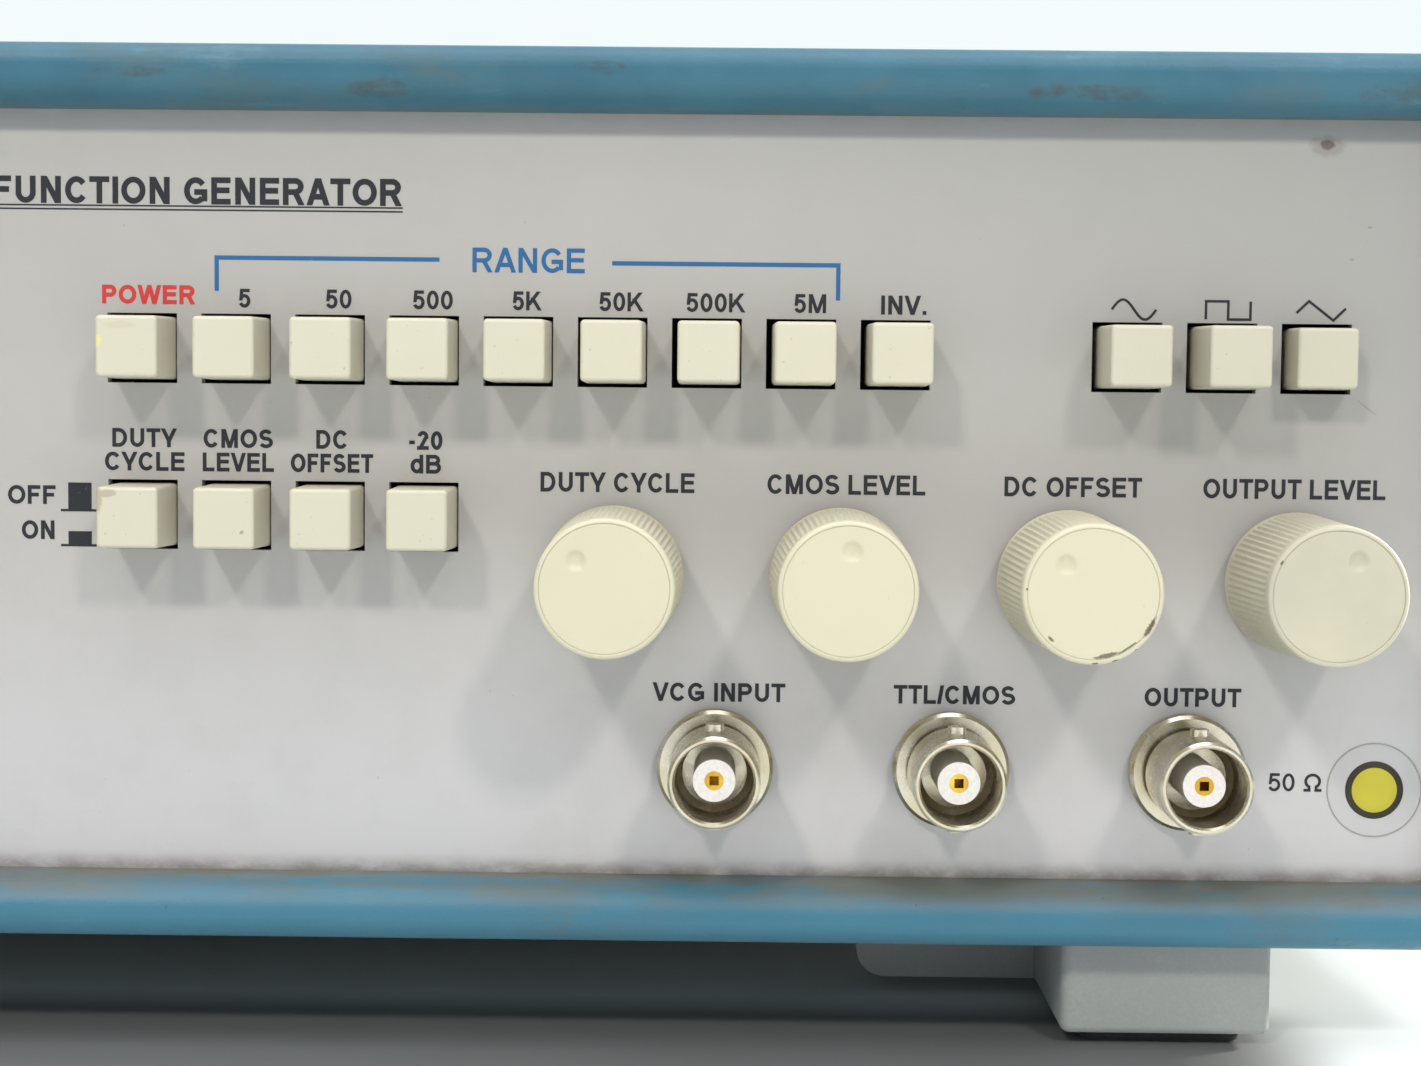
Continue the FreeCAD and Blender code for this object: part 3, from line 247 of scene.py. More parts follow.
def panel_paint():
    """Satin grey paint: fine specks, hair scratches, a dirty rim and one dark spot at the top right;
    painted light low down and painted shade up high, to the right and under the top bar.
    """
    made = Finish("panel_paint", IOR=1.4)
    cloud = made.noise(45.0, 4.0, 0.5)
    # Painted light: the paint is made lighter towards the bottom, standing in for light bounced up from the
    # bench.
    low = made.ramp(made.z, 62.0, 24.0)
    warm = made.mix(cloud, tint(173, 170, 166), tint(178, 175, 170))
    lower_painted_light = made.mix(cloud, tint(188, 186, 187), tint(193, 191, 191))
    body = made.mix(low, warm, lower_painted_light)
    mottle = made.both(made.ramp(made.noise(6.0, 6.0, 0.65), 0.42, 0.7), 0.12)
    body = made.mix(mottle, body, tint(160, 158, 152))
    # Painted shade: the paint is made darker towards the right and towards the top, where less light falls.
    upper_right_painted_shade = made.both(made.ramp(made.x, 20.0, 124.0), made.ramp(made.z, 30.0, 80.0))
    body = made.mix(made.both(upper_right_painted_shade, 0.4), body, tint(134, 134, 130))
    upper = made.ramp(made.z, 60.0, 96.0)
    body = made.mix(made.both(upper, 0.12), body, tint(134, 134, 130))
    lip_shade = made.ramp(made.z, 96.6, 97.2)
    body = made.mix(made.both(lip_shade, 0.28), body, tint(96, 108, 118))
    scratch = made.ramp(made.noise(9.0, 2.0, 0.5, (0.02, 1.0, 1.0), 5.0), 0.70, 0.73)
    body = made.mix(made.both(scratch, 0.12), body, tint(212, 211, 206))
    specks = made.ramp(made.noise(0.6, 1.0, 0.5, seed=17.0), 0.79, 0.83)
    body = made.mix(made.both(specks, 0.3), body, tint(120, 118, 114))
    hair = made.marks([(110.4, 69.0, 2.6, 0.16, -38.0), (110.2, 88.0, 0.5, 0.3),
                       (108.4, 84.6, 0.5, 0.25)], ragged=0.2)
    body = made.mix(made.both(hair, 0.45), body, tint(112, 108, 100))
    # A patchy darker rim along the edges of the opening: dirt, and at the top also painted shade under the
    # bar.
    edge_z = made.either(made.ramp(made.z, OPENING_LOW + 2.2, OPENING_LOW),
                         made.both(made.ramp(made.z, OPENING_HIGH - 2.0, OPENING_HIGH), 0.3))
    edge_x = made.ramp(made.maths("ABSOLUTE", made.x), OPENING_SIDE - 1.8, OPENING_SIDE)
    patchy = made.ramp(made.noise(2.2, 6.0, 0.7, (0.5, 1.0, 1.0)), 0.15, 0.7)
    edge = made.both(made.either(edge_z, edge_x), patchy)
    body = made.mix(made.both(edge, 0.75), body, tint(104, 99, 90))
    halo = made.blotch(105.5, 96.5, 3.6, 2.2, ragged=0.5)
    body = made.mix(made.both(halo, 0.35), body, tint(112, 102, 88))
    spot = made.blotch(105.5, 96.6, 1.5, 1.0, ragged=0.4, grain=0.5)
    body = made.mix(made.both(spot, 0.7), body, tint(74, 62, 50))
    made.colour(body)
    made.roughness(cloud, 0.38, 0.5)
    made.bump(made.noise(0.3, 3.0), 0.008)
    return made


def button_plastic():
    """Cream push-button caps, greyer towards the panel, with the stains and nicks of use."""
    made = Finish("button_plastic", IOR=1.46)
    cloud = made.noise(9.0, 5.0)
    body = made.mix(cloud, tint(197, 192, 170), tint(203, 198, 177))
    ahead = made.maths("SUBTRACT", PANEL_Y, made.y)
    root = made.both(made.ramp(ahead, 4.0, 0.0), made.noise(1.6, 5.0, 0.6))
    body = made.mix(made.both(root, 0.6), body, tint(168, 166, 148))
    greyer = made.ramp(made.x, 60.0, 104.0)
    body = made.mix(made.both(greyer, 0.3), body, tint(158, 156, 142))
    face = made.ramp(ahead, 6.0, 6.8)
    brown = made.marks([(-22.3, 58.4, 1.0, 2.4), (-21.4, 58.9, 2.2, 0.9)], ragged=0.6)
    brown = made.either(brown, made.both(made.blotch(-19.8, 76.3, 3.0, 0.8, ragged=0.6), 0.3))
    body = made.mix(made.both(made.both(brown, face), 0.5), body, tint(150, 132, 100))
    chip = made.blotch(-22.3, 74.6, 0.8, 1.2, ragged=0.4)
    body = made.mix(made.both(made.both(chip, face), 0.8), body, tint(222, 210, 132))
    nick = made.blotch(-7.4, 55.0, 0.5, 0.35, turn=30.0)
    body = made.mix(made.both(made.both(nick, face), 0.7), body, tint(130, 128, 118))
    specks = made.ramp(made.noise(0.5, 1.0, 0.5, seed=23.0), 0.75, 0.8)
    body = made.mix(made.both(specks, 0.5), body, tint(150, 142, 120))
    made.colour(body)
    made.roughness(cloud, 0.34, 0.46)
    made.bump(made.noise(0.35, 3.0), 0.01)
    return made


# Chips and specks on two knobs: degrees anticlockwise from the right, radius, length and width
OFFSET_CHIPS = [(-76.0, 6.2, 2.6, 0.42), (-56.0, 6.3, 2.2, 0.2), (-30.0, 6.45, 2.0, 0.5),
                (-88.0, 6.85, 0.6, 0.25), (-71.0, 6.95, 0.7, 0.25), (-52.0, 6.95, 0.4, 0.2),
                (-133.0, 6.05, 0.7, 0.3), (176.0, 6.6, 0.25, 0.25)]
OUTPUT_CHIPS = [(150.0, 6.6, 0.5, 0.25)]


def knob_plastic(name, knob="", chips=(), shade=tint(205, 199, 173)):
    """Cream knob plastic; the mesh says where the ribs hold dirt."""
    made = Finish(name, IOR=1.46)
    cloud = made.noise(8.0, 5.0)
    body = made.mix(cloud, tint(200, 194, 168), shade)
    dirt = made.node("ShaderNodeAttribute", attribute_name="dirt").outputs["Fac"]
    patchy = made.maths("ADD", 0.1, made.both(made.noise(3.0, 5.0, 0.6), 0.8))
    body = made.mix(made.both(dirt, patchy), body, tint(190, 187, 166))
    specks = made.ramp(made.noise(0.5, 1.0, 0.5, seed=41.0), 0.75, 0.8)
    body = made.mix(made.both(specks, 0.4), body, tint(150, 142, 120))
    if chips:
        low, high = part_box(knob)
        middle = (low + high) / 2 / MM
        places = []
        for angle, radius, length, width in chips:
            turn = math.radians(angle)
            places.append((middle.x + radius * math.cos(turn), middle.z + radius * math.sin(turn),
                           length, width, angle - 90))
        front = made.ramp(made.y, low.y / MM + 1.6, low.y / MM + 1.0)
        mark = made.both(made.marks(places, ragged=0.8, grain=0.22), front)
        body = made.mix(made.both(mark, 0.85), body, tint(92, 78, 58))
    made.colour(body)
    made.roughness(cloud, 0.36, 0.5)
    made.bump(made.noise(0.3, 3.0), 0.008)
    return made


def ink(name, shade):
    """Screen-printed ink, slightly thin in places."""
    made = Finish(name, roughness=0.55, IOR=1.4)
    thin = made.ramp(made.noise(0.35, 4.0, 0.6), 0.62, 0.8)
    made.colour(made.mix(made.both(thin, 0.3), shade, tint(150, 150, 150)))
    made.bump(made.noise(0.2), 0.004)
    return made


def smoked_acrylic():
    """Dark red-brown see-through window with faint wipe marks."""
    made = Finish("window_acrylic", IOR=1.49, Transmission_Weight=0.85)
    wiped = made.noise(5.0, 5.0, 0.6, (0.3, 1.0, 1.0))
    made.colour(made.mix(wiped, tint(112, 44, 40), tint(128, 54, 48)))
    made.roughness(wiped, 0.06, 0.16)
    made.bump(made.noise(3.0), 0.004)
    return made


def clear_plastic(name, shade):
    made = Finish(name, IOR=1.45, Transmission_Weight=0.8)
    cloud = made.noise(1.5, 4.0)
    made.colour(made.mix(cloud, shade, tint(225, 228, 222)))
    made.roughness(cloud, 0.12, 0.3)
    made.bump(cloud, 0.01)
    return made


def wound(name):
    """Taped winding: bands of tape over copper."""
    made = Finish(name, roughness=0.4)
    bands = made.node("ShaderNodeTexWave", {"Vector": made.place, "Scale": 0.12, "Distortion": 1.2},
                      bands_direction="Z").outputs["Fac"]
    made.colour(made.mix(made.ramp(bands, 0.4, 0.6), tint(196, 168, 60), tint(216, 190, 84)))
    made.roughness(bands, 0.3, 0.5)
    made.bump(bands, 0.08)
    return made


def cored(name):
    """Laminated transformer steel: fine sheet edges under varnish."""
    made = Finish(name, Metallic=0.6)
    sheets = made.node("ShaderNodeTexWave", {"Vector": made.place, "Scale": 0.9, "Distortion": 0.4},
                       bands_direction="Y").outputs["Fac"]
    made.colour(made.mix(made.both(sheets, made.noise(3.0)), tint(46, 44, 42), tint(104, 100, 94)))
    made.roughness(sheets, 0.35, 0.6)
    made.bump(sheets, 0.05)
    return made


def boards(name):
    """Green circuit board with paler copper tracks under its mask."""
    made = Finish(name, IOR=1.5)
    lanes = made.node("ShaderNodeTexBrick", {"Vector": made.place, "Scale": 0.16, "Mortar Size": 0.03},
                      offset=0.35).outputs["Fac"]
    made.colour(made.mix(made.both(lanes, made.noise(6.0)), tint(24, 86, 54), tint(70, 140, 84)))
    made.roughness(made.noise(4.0), 0.3, 0.45)
    made.bump(lanes, 0.03)
    return made


def paint_frame():
    """Gives every CAD node the material of its slot in the record."""
    finishes = [
        frame_plastic(),
        panel_paint(),
        button_plastic(),
        knob_plastic("knob_plastic"),
        moulded("cover_paint", tint(150, 157, 151), tint(145, 152, 146), 0.55, 0.8, 0.06),
        metal("plated_steel", tint(190, 188, 178), tint(160, 156, 142), 0.35),
        metal("rear_aluminium", tint(190, 192, 192), tint(185, 187, 187), 0.38, 0.5, (0.05, 1.0, 1.0)),
        smoked_acrylic(),
        moulded("display_plastic", tint(40, 38, 38), tint(24, 23, 23), 0.4),
        boards("circuit_board"),
        moulded("switch_plastic", tint(44, 44, 46), tint(30, 30, 32), 0.5),
        metal("pot_metal", tint(180, 176, 166), tint(150, 146, 134), 0.35),
        metal("nut_nickel", tint(200, 196, 186), tint(176, 170, 156), 0.28),
        moulded("jack_ptfe", tint(232, 228, 223), tint(216, 211, 205), 0.35, 0.4, 0.01),
        metal("contact_gold", tint(236, 200, 96), tint(196, 150, 54), 0.22),
        metal("jack_nickel", tint(214, 207, 190), tint(196, 186, 160), 0.22, 1.4, relief=0.003),
        moulded("foot_plastic", tint(152, 154, 150), tint(144, 147, 144), 0.6, 0.4, 0.02),
        moulded("pad_rubber", tint(52, 52, 52), tint(38, 38, 38), 0.8, 0.5, 0.08),
        metal("pin_steel", tint(190, 190, 186), tint(160, 158, 150), 0.3),
        moulded("inlet_plastic", tint(34, 34, 35), tint(22, 22, 23), 0.45),
        metal("blade_brass", tint(206, 192, 150), tint(176, 158, 110), 0.3),
        clear_plastic("fuse_glass", tint(232, 236, 230)),
        moulded("capacitor_sleeve", tint(40, 52, 84), tint(28, 38, 64), 0.4),
        metal("sink_aluminium", tint(70, 70, 72), tint(52, 52, 54), 0.5),
        cored("core_steel"),
        wound("winding_copper"),
        moulded("ribbon_plastic", tint(150, 150, 148), tint(128, 128, 126), 0.5),
        metal("screw_steel", tint(186, 184, 176), tint(150, 146, 134), 0.32),
    ]
    by_slot = {finish.material.name.split(".")[0]: finish.material for finish in finishes}
    for node in NODES.values():
        for slot in node.material_slots:
            slot.material = by_slot[slot.material.name.split(".")[0]]
    return by_slot


# ---------------------------------------------------------------- meshes


def add_piece(name, mesh, material, body):
    piece = bpy.data.objects.new(name, mesh)
    bpy.context.scene.collection.objects.link(piece)
    mesh.materials.append(material)
    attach(piece, body)
    return piece


def mesh_of(name, built, crease=None):
    """A mesh from a bmesh: faces turned outwards, smooth but for creases over that angle."""
    bmesh.ops.recalc_face_normals(built, faces=built.faces)
    mesh = bpy.data.meshes.new(name)
    built.to_mesh(mesh)
    built.free()
    if crease is not None:
        mesh.polygons.foreach_set("use_smooth", [True] * len(mesh.polygons))
        mesh.set_sharp_from_angle(angle=math.radians(crease))
    return mesh


def prism(built, outline, front, back):
    """A closed solid: an outline of (x, z) points, from one Y to another."""
    rings = []
    for y in (front, back):
        rings.append([built.verts.new((x * MM, y * MM, z * MM)) for x, z in outline])
    built.faces.new(rings[0])
    built.faces.new(reversed(rings[1]))
    count = len(outline)
    for i in range(count):
        j = (i + 1) % count
        built.faces.new((rings[0][i], rings[1][i], rings[1][j], rings[0][j]))


# Printed marks stand a hair proud of the panel; each stroke of a letter steps ahead of the one before
INK_FRONT = PANEL_Y - 0.03
INK_BACK = PANEL_Y + 0.05
INK_LAYER = 0.002


def bar(built, x0, x1, z0, z1, front=INK_FRONT, back=INK_BACK):
    prism(built, [(x0, z0), (x1, z0), (x1, z1), (x0, z1)], front, back)


def ribbon(built, points, width, closed=False, front=INK_FRONT):
    """A printed line through (x, z) points, with mitred corners: square cut ends, or a closed ring."""
    count = len(points)
    sections = []
    for i, point in enumerate(points):
        here = Vector(point)
        before = Vector(points[i - 1 if closed else max(i - 1, 0)])
        after = Vector(points[(i + 1) % count if closed else min(i + 1, count - 1)])
        ways = [way.normalized() for way in (here - before, after - here) if way.length > 0]
        along = sum(ways, Vector((0, 0))).normalized()
        side = Vector((-along.y, along.x)) * (width / 2 / max(along.dot(ways[0]), 0.3))
        left, right = here + side, here - side
        corners = [(left, front), (left, INK_BACK), (right, INK_BACK), (right, front)]
        sections.append([built.verts.new((place.x * MM, y * MM, place.y * MM)) for place, y in corners])
    spans = list(zip(sections, sections[1:]))
    if closed:
        spans.append((sections[-1], sections[0]))
    for near, far in spans:
        for i in range(4):
            j = (i + 1) % 4
            built.faces.new((near[i], near[j], far[j], far[i]))
    if not closed:
        built.faces.new(sections[0])
        built.faces.new(reversed(sections[-1]))


# Plain sans-serif letters. Each has its advance and its inked width, both in cap heights, and its strokes
# along the middle of the pen, from 0 to 1 across and from 0 at the base to 1 at the cap line:
# "line" x0 z0 x1 z1, upright or level; "slant" x0 z0 x1 z1, cut level at both ends;
# "bend" centre x, centre z, radius x, radius z, and its two angles in degrees.
POST = ("line", 0, 0, 0, 1)
FAR_POST = ("line", 1, 0, 1, 1)
TOP, FOOT = ("line", 0, 1, 1, 1), ("line", 0, 0, 1, 0)
RING = ("bend", 0.5, 0.5, 0.5, 0.5, 0, 360)
LETTERS = {
    "A": (0.93, 0.92, [("slant", 0, 0, 0.5, 1), ("slant", 1, 0, 0.5, 1), ("line", 0.2, 0.27, 0.8, 0.27)]),
    "B": (0.93, 0.80, [POST, ("line", 0, 1, 0.55, 1), ("line", 0, 0.53, 0.6, 0.53), ("line", 0, 0, 0.6, 0),
                       ("bend", 0.58, 0.765, 0.34, 0.235, -90, 90),
                       ("bend", 0.62, 0.265, 0.38, 0.265, -90, 90)]),
    "C": (1.01, 0.88, [("bend", 0.52, 0.5, 0.52, 0.5, 36, 324)]),
    "D": (1.01, 0.85, [POST, ("line", 0, 0, 0.4, 0), ("line", 0, 1, 0.4, 1),
                       ("bend", 0.42, 0.5, 0.58, 0.5, -90, 90)]),
    "E": (0.93, 0.77, [POST, TOP, FOOT, ("line", 0, 0.53, 0.92, 0.53)]),
    "F": (0.85, 0.70, [POST, TOP, ("line", 0, 0.5, 0.82, 0.5)]),
    "G": (1.09, 0.93, [("bend", 0.5, 0.5, 0.5, 0.5, 36, 318), ("line", 1, 0.14, 1, 0.44),
                       ("line", 0.58, 0.44, 1, 0.44)]),
    "H": (1.01, 0.80, [POST, FAR_POST, ("line", 0, 0.52, 1, 0.52)]),
    "I": (0.39, 0.19, [("line", 0.5, 0, 0.5, 1)]),
    "K": (1.01, 0.88, [POST, ("slant", 0.02, 0.3, 0.9, 1), ("slant", 0.36, 0.6, 1, 0)]),
    "L": (0.85, 0.71, [POST, FOOT]),
    "M": (1.16, 0.97, [POST, FAR_POST, ("slant", 0.04, 1, 0.5, 0), ("slant", 0.96, 1, 0.5, 0)]),
    "N": (1.01, 0.80, [POST, FAR_POST, ("slant", 0, 1, 1, 0)]),
    "O": (1.09, 0.97, [RING]),
    "P": (0.93, 0.79, [POST, ("line", 0, 1, 0.55, 1), ("line", 0, 0.46, 0.55, 0.46),
                       ("bend", 0.6, 0.73, 0.4, 0.27, -90, 90)]),
    "R": (1.01, 0.87, [POST, ("line", 0, 1, 0.55, 1), ("line", 0, 0.48, 0.55, 0.48),
                       ("bend", 0.58, 0.74, 0.36, 0.26, -90, 90), ("slant", 0.5, 0.46, 0.98, 0)]),
    "S": (0.93, 0.82, [("bend", 0.49, 0.755, 0.45, 0.245, 22, 270),
                       ("bend", 0.5, 0.255, 0.5, 0.255, 90, -158)]),
    "T": (0.85, 0.80, [TOP, ("line", 0.5, 0, 0.5, 1)]),
    "U": (1.01, 0.80, [("line", 0, 0.36, 0, 1), ("line", 1, 0.36, 1, 1),
                       ("bend", 0.5, 0.36, 0.5, 0.36, 180, 360)]),
    "V": (0.93, 0.92, [("slant", 0, 1, 0.5, 0), ("slant", 1, 1, 0.5, 0)]),
    "W": (1.32, 1.31, [("slant", 0, 1, 0.24, 0), ("slant", 0.24, 0, 0.5, 1), ("slant", 0.5, 1, 0.76, 0),
                       ("slant", 0.76, 0, 1, 1)]),
    "Y": (0.93, 0.92, [("slant", 0, 1, 0.5, 0.42), ("slant", 1, 1, 0.5, 0.42), ("line", 0.5, 0, 0.5, 0.4)]),
    "0": (0.78, 0.66, [RING]),
    "2": (0.78, 0.66, [("bend", 0.5, 0.72, 0.46, 0.28, 168, -22), FOOT, ("slant", 0.92, 0.62, 0.06, 0)]),
    "5": (0.78, 0.66, [("line", 0.2, 1, 0.92, 1), ("slant", 0.06, 0.46, 0.18, 1),
                       ("bend", 0.49, 0.33, 0.51, 0.33, 138, -155)]),
    "-": (0.46, 0.32, [("line", 0, 0.36, 1, 0.36)]),
    ".": (0.39, 0.19, [("line", 0.5, 0, 0.5, 0)]),
    "/": (0.39, 0.40, [("slant", 0, 0, 1, 1)]),
    " ": (0.39, 0.0, []),
    "d": (0.85, 0.68, [("bend", 0.5, 0.37, 0.5, 0.37, 0, 360), FAR_POST]),
    "z": (0.70, 0.60, [("line", 0, 0.72, 1, 0.72), FOOT, ("slant", 0.96, 0.72, 0.04, 0)]),
    "Ω": (1.07, 0.98, [("bend", 0.5, 0.58, 0.46, 0.42, -58, 238), ("line", 0, 0, 0.28, 0),
                       ("line", 0.72, 0, 1, 0),
                       ("slant", 0.28, 0, 0.26, 0.22), ("slant", 0.72, 0, 0.74, 0.22)]),
}


def pen_stroke(built, stroke, at, pen, front):
    """One stroke of a letter. at(x, z) places the letter's own coordinates on the panel."""
    kind = stroke[0]
    if kind == "bend":
        x, z, reach_x, reach_z, start, end = stroke[1:]
        closed = end - start == 360
        steps = max(4, round(abs(end - start) / 15))
        points = []
        for i in range(steps if closed else steps + 1):
            angle = math.radians(start + (end - start) * i / steps)
            points.append(at(x + reach_x * math.cos(angle), z + reach_z * math.sin(angle)))
        ribbon(built, points, pen, closed, front)
        return
    (x0, z0), (x1, z1) = at(stroke[1], stroke[2]), at(stroke[3], stroke[4])
    half = pen / 2
    if kind == "line":
        bar(built, min(x0, x1) - half, max(x0, x1) + half, min(z0, z1) - half, max(z0, z1) + half, front)
        return
    z0 += math.copysign(half, z0 - z1)
    z1 += math.copysign(half, z1 - z0)
    across = half * math.hypot(x1 - x0, z1 - z0) / abs(z1 - z0)
    outline = [(x0 - across, z0), (x0 + across, z0), (x1 + across, z1), (x1 - across, z1)]
    prism(built, outline, front, INK_BACK)


def legend(built, text, centre, base, cap, width, pen=0.4):
    """Text fitted to its inked width and its height of capitals, standing on base."""
    first, last = LETTERS[text[0]], LETTERS[text[-1]]
    margin = (first[0] - first[1]) / 2
    total = sum(LETTERS[letter][0] for letter in text) - margin - (last[0] - last[1]) / 2
    scale = width / total
    cursor = centre - width / 2 - margin * scale
    for letter in text:
        advance, inked, strokes = LETTERS[letter]
        left = cursor + (advance - inked) / 2 * scale + pen / 2
        span = max(inked * scale - pen, 0.0)

        def at(x, z):
            return left + x * span, base + pen / 2 + z * (cap - pen)

        for layer, stroke in enumerate(strokes):
            pen_stroke(built, stroke, at, pen, INK_FRONT - layer * INK_LAYER)
        cursor += advance * scale


def finish_print(name, built, material):
    add_piece(name, mesh_of(name, built), material, "root")


BUTTON_PITCH = 10.0
NUMBER_X = -8.7
LOWER_ROW_X = -19.4
CAPITALS = 2.0
BOLD_PEN = 0.6
MARK_PEN = 0.45
RANGE_NAMES = ["5", "50", "500", "5K", "50K", "500K", "5M"]
RANGE_WIDTHS = [1.25, 2.75, 4.25, 3.1, 4.7, 6.25, 3.4]
# Both lines over each button of the lower row, and the inked widths of both
LOWER_ROW = [("DUTY", "CYCLE", 6.9, 8.5), ("CMOS", "LEVEL", 7.4, 7.6), ("DC", "OFFSET", 3.35, 8.8),
             ("-20", "dB", 3.55, 3.25)]
# Text, centre, base, inked width, and top of the dark block of its sign
SWITCH_SIGNS = [("OFF", -31.5, 57.37, 5.1, 59.7), ("ON", -30.85, 53.62, 3.5, 54.5)]
# Text, centre and inked width
KNOB_NAMES = [("DUTY CYCLE", 31.04, 16.4), ("CMOS LEVEL", 55.4, 16.8), ("DC OFFSET", 79.5, 14.6),
              ("OUTPUT LEVEL", 102.95, 19.3)]
JACK_NAMES = [("VCG INPUT", 42.07, 14.2), ("TTL/CMOS", 67.25, 13.0), ("OUTPUT", 92.7, 10.3)]
WAVE_X = (85.55, 95.5, 105.3)


def title(built):
    """The heading at the top left, over its double rule."""
    left, right = -35.3, 8.0
    legend(built, "FUNCTION GENERATOR", (left + right) / 2, 89.3, 2.85, right - left, BOLD_PEN)
    for z in (88.62, 89.02):
        bar(built, left, right + 0.1, z, z + 0.16)


def range_print(blue):
    legend(blue, "RANGE", 21.45, 82.42, 2.6, 11.9, MARK_PEN)
    for inner, outer, level, low in ((12.0, -11.65, 83.72, 80.2), (30.3, 54.25, 83.5, 79.8)):
        ribbon(blue, [(inner, level), (outer, level), (outer, low)], MARK_PEN)


def button_print(dark):
    for i, (text, width) in enumerate(zip(RANGE_NAMES, RANGE_WIDTHS)):
        legend(dark, text, NUMBER_X + i * BUTTON_PITCH, 78.45, CAPITALS, width, 0.36)
    legend(dark, "INV.", 61.2, 78.38, CAPITALS, 4.75)
    for i, (upper, lower, upper_width, lower_width) in enumerate(LOWER_ROW):
        centre = LOWER_ROW_X + i * BUTTON_PITCH
        legend(dark, upper, centre, 63.56, CAPITALS, upper_width)
        legend(dark, lower, centre, 61.04, CAPITALS, lower_width)


def switch_print(dark):
    """The released and pressed signs beside the lower row."""
    for text, centre, base, width, top in SWITCH_SIGNS:
        legend(dark, text, centre, base, CAPITALS, width)
        foot = base - 0.75
        bar(dark, -27.6, -25.1, foot + 0.25, top)
        bar(dark, -28.4, -24.6, foot, foot + 0.25)


def wave_print(dark):
    """A sine, a square and a triangle wave over their buttons."""
    line = 0.27
    half = 2.35
    middle = 79.15
    swing = 0.95
    sine = []
    steps = 32
    for i in range(steps + 1):
        share = i / steps
        height = 1.1 * swing * math.sin(share * 2 * math.pi)
        sine.append((WAVE_X[0] + half * (2 * share - 1), middle + height))
    ribbon(dark, sine, line)
    low, high = middle - swing, middle + swing
    x = WAVE_X[1]
    square = [(x - half, low), (x - half, high), (x, high), (x, low), (x + half, low), (x + half, high)]
    ribbon(dark, square, line)
    x = WAVE_X[2]
    triangle = [(x - 2.6, middle - 0.2), (x - 1.3, high + 0.1), (x + 1.3, low), (x + 2.6, middle + 0.3)]
    ribbon(dark, triangle, line)


def control_print(dark):
    for text, centre, width in KNOB_NAMES:
        legend(dark, text, centre, 59.25, 2.1, width)
    for text, centre, width in JACK_NAMES:
        legend(dark, text, centre, 36.95, CAPITALS, width)
    legend(dark, "50 Ω", 103.8, 27.95, 1.95, 5.7, 0.3)
    legend(dark, "COARSE", -96.0, 64.2, CAPITALS, 11.4)
    legend(dark, "FINE", -60.0, 60.4, CAPITALS, 6.2)
    legend(dark, "Hz", -39.4, 82.6, CAPITALS, 4.0)


def print_panel():
    dark, blue, red = bmesh.new(), bmesh.new(), bmesh.new()
    title(dark)
    range_print(blue)
    button_print(dark)
    switch_print(dark)
    wave_print(dark)
    control_print(dark)
    legend(red, "POWER", -18.9, 78.75, CAPITALS, 9.9, 0.44)
    finish_print("panel_legends_dark", dark, ink("ink_dark", tint(34, 35, 41)).material)
    finish_print("panel_legends_blue", blue, ink("ink_blue", tint(36, 94, 142)).material)
    finish_print("panel_legend_red", red, ink("ink_red", tint(196, 54, 50)).material)


def lathe(built, x, z, profile, around, wave=None):
    """Turns (radius, y) points about the line along Y through x and z. wave(angle) adds to ribbed radii.
    A profile that starts and ends at radius 0 gives a closed solid."""
    rings = []
    for point in profile:
        radius, y = point[0], point[1]
        if radius == 0:
            rings.append([built.verts.new((x * MM, y * MM, z * MM))])
            continue
        ring = []
        for i in range(around):
            angle = 2 * math.pi * i / around
            reach = radius + (wave(angle) if wave and len(point) > 2 else 0.0)
            ring.append(built.verts.new(((x + reach * math.cos(angle)) * MM, y * MM,
                                         (z + reach * math.sin(angle)) * MM)))
        rings.append(ring)
    for near, far in zip(rings, rings[1:]):
        for i in range(around):
            j = (i + 1) % around
            corners = [near[i % len(near)], near[j % len(near)], far[j % len(far)], far[i % len(far)]]
            built.faces.new(list(dict.fromkeys(corners)))


def arc(radius, y, turn, start, end, steps):
    """(radius, y) points on a quarter round of size turn about a centre."""
    points = []
    for i in range(steps + 1):
        angle = math.radians(start + (end - start) * i / steps)
        points.append((radius + turn * math.cos(angle), y + turn * math.sin(angle)))
    return points


KNOB_STANDOFF = 1.2
KNOB_TAPER = 0.5
RIB_PITCH = 0.65
RIB_DEPTH = 0.19
RIB_STEPS = 6
SHAFT_RADIUS = 3.0
DISC_RIM = 0.5
DIMPLE_RADIUS = 1.0
DIMPLE_DEPTH = 0.42
DIMPLE_PLACE = 0.57
KNOB_POINTERS = {"coarse": -20.0, "fine": 10.0, "duty": -45.0, "cmos": 5.0, "offset": -43.0, "output": 28.0}


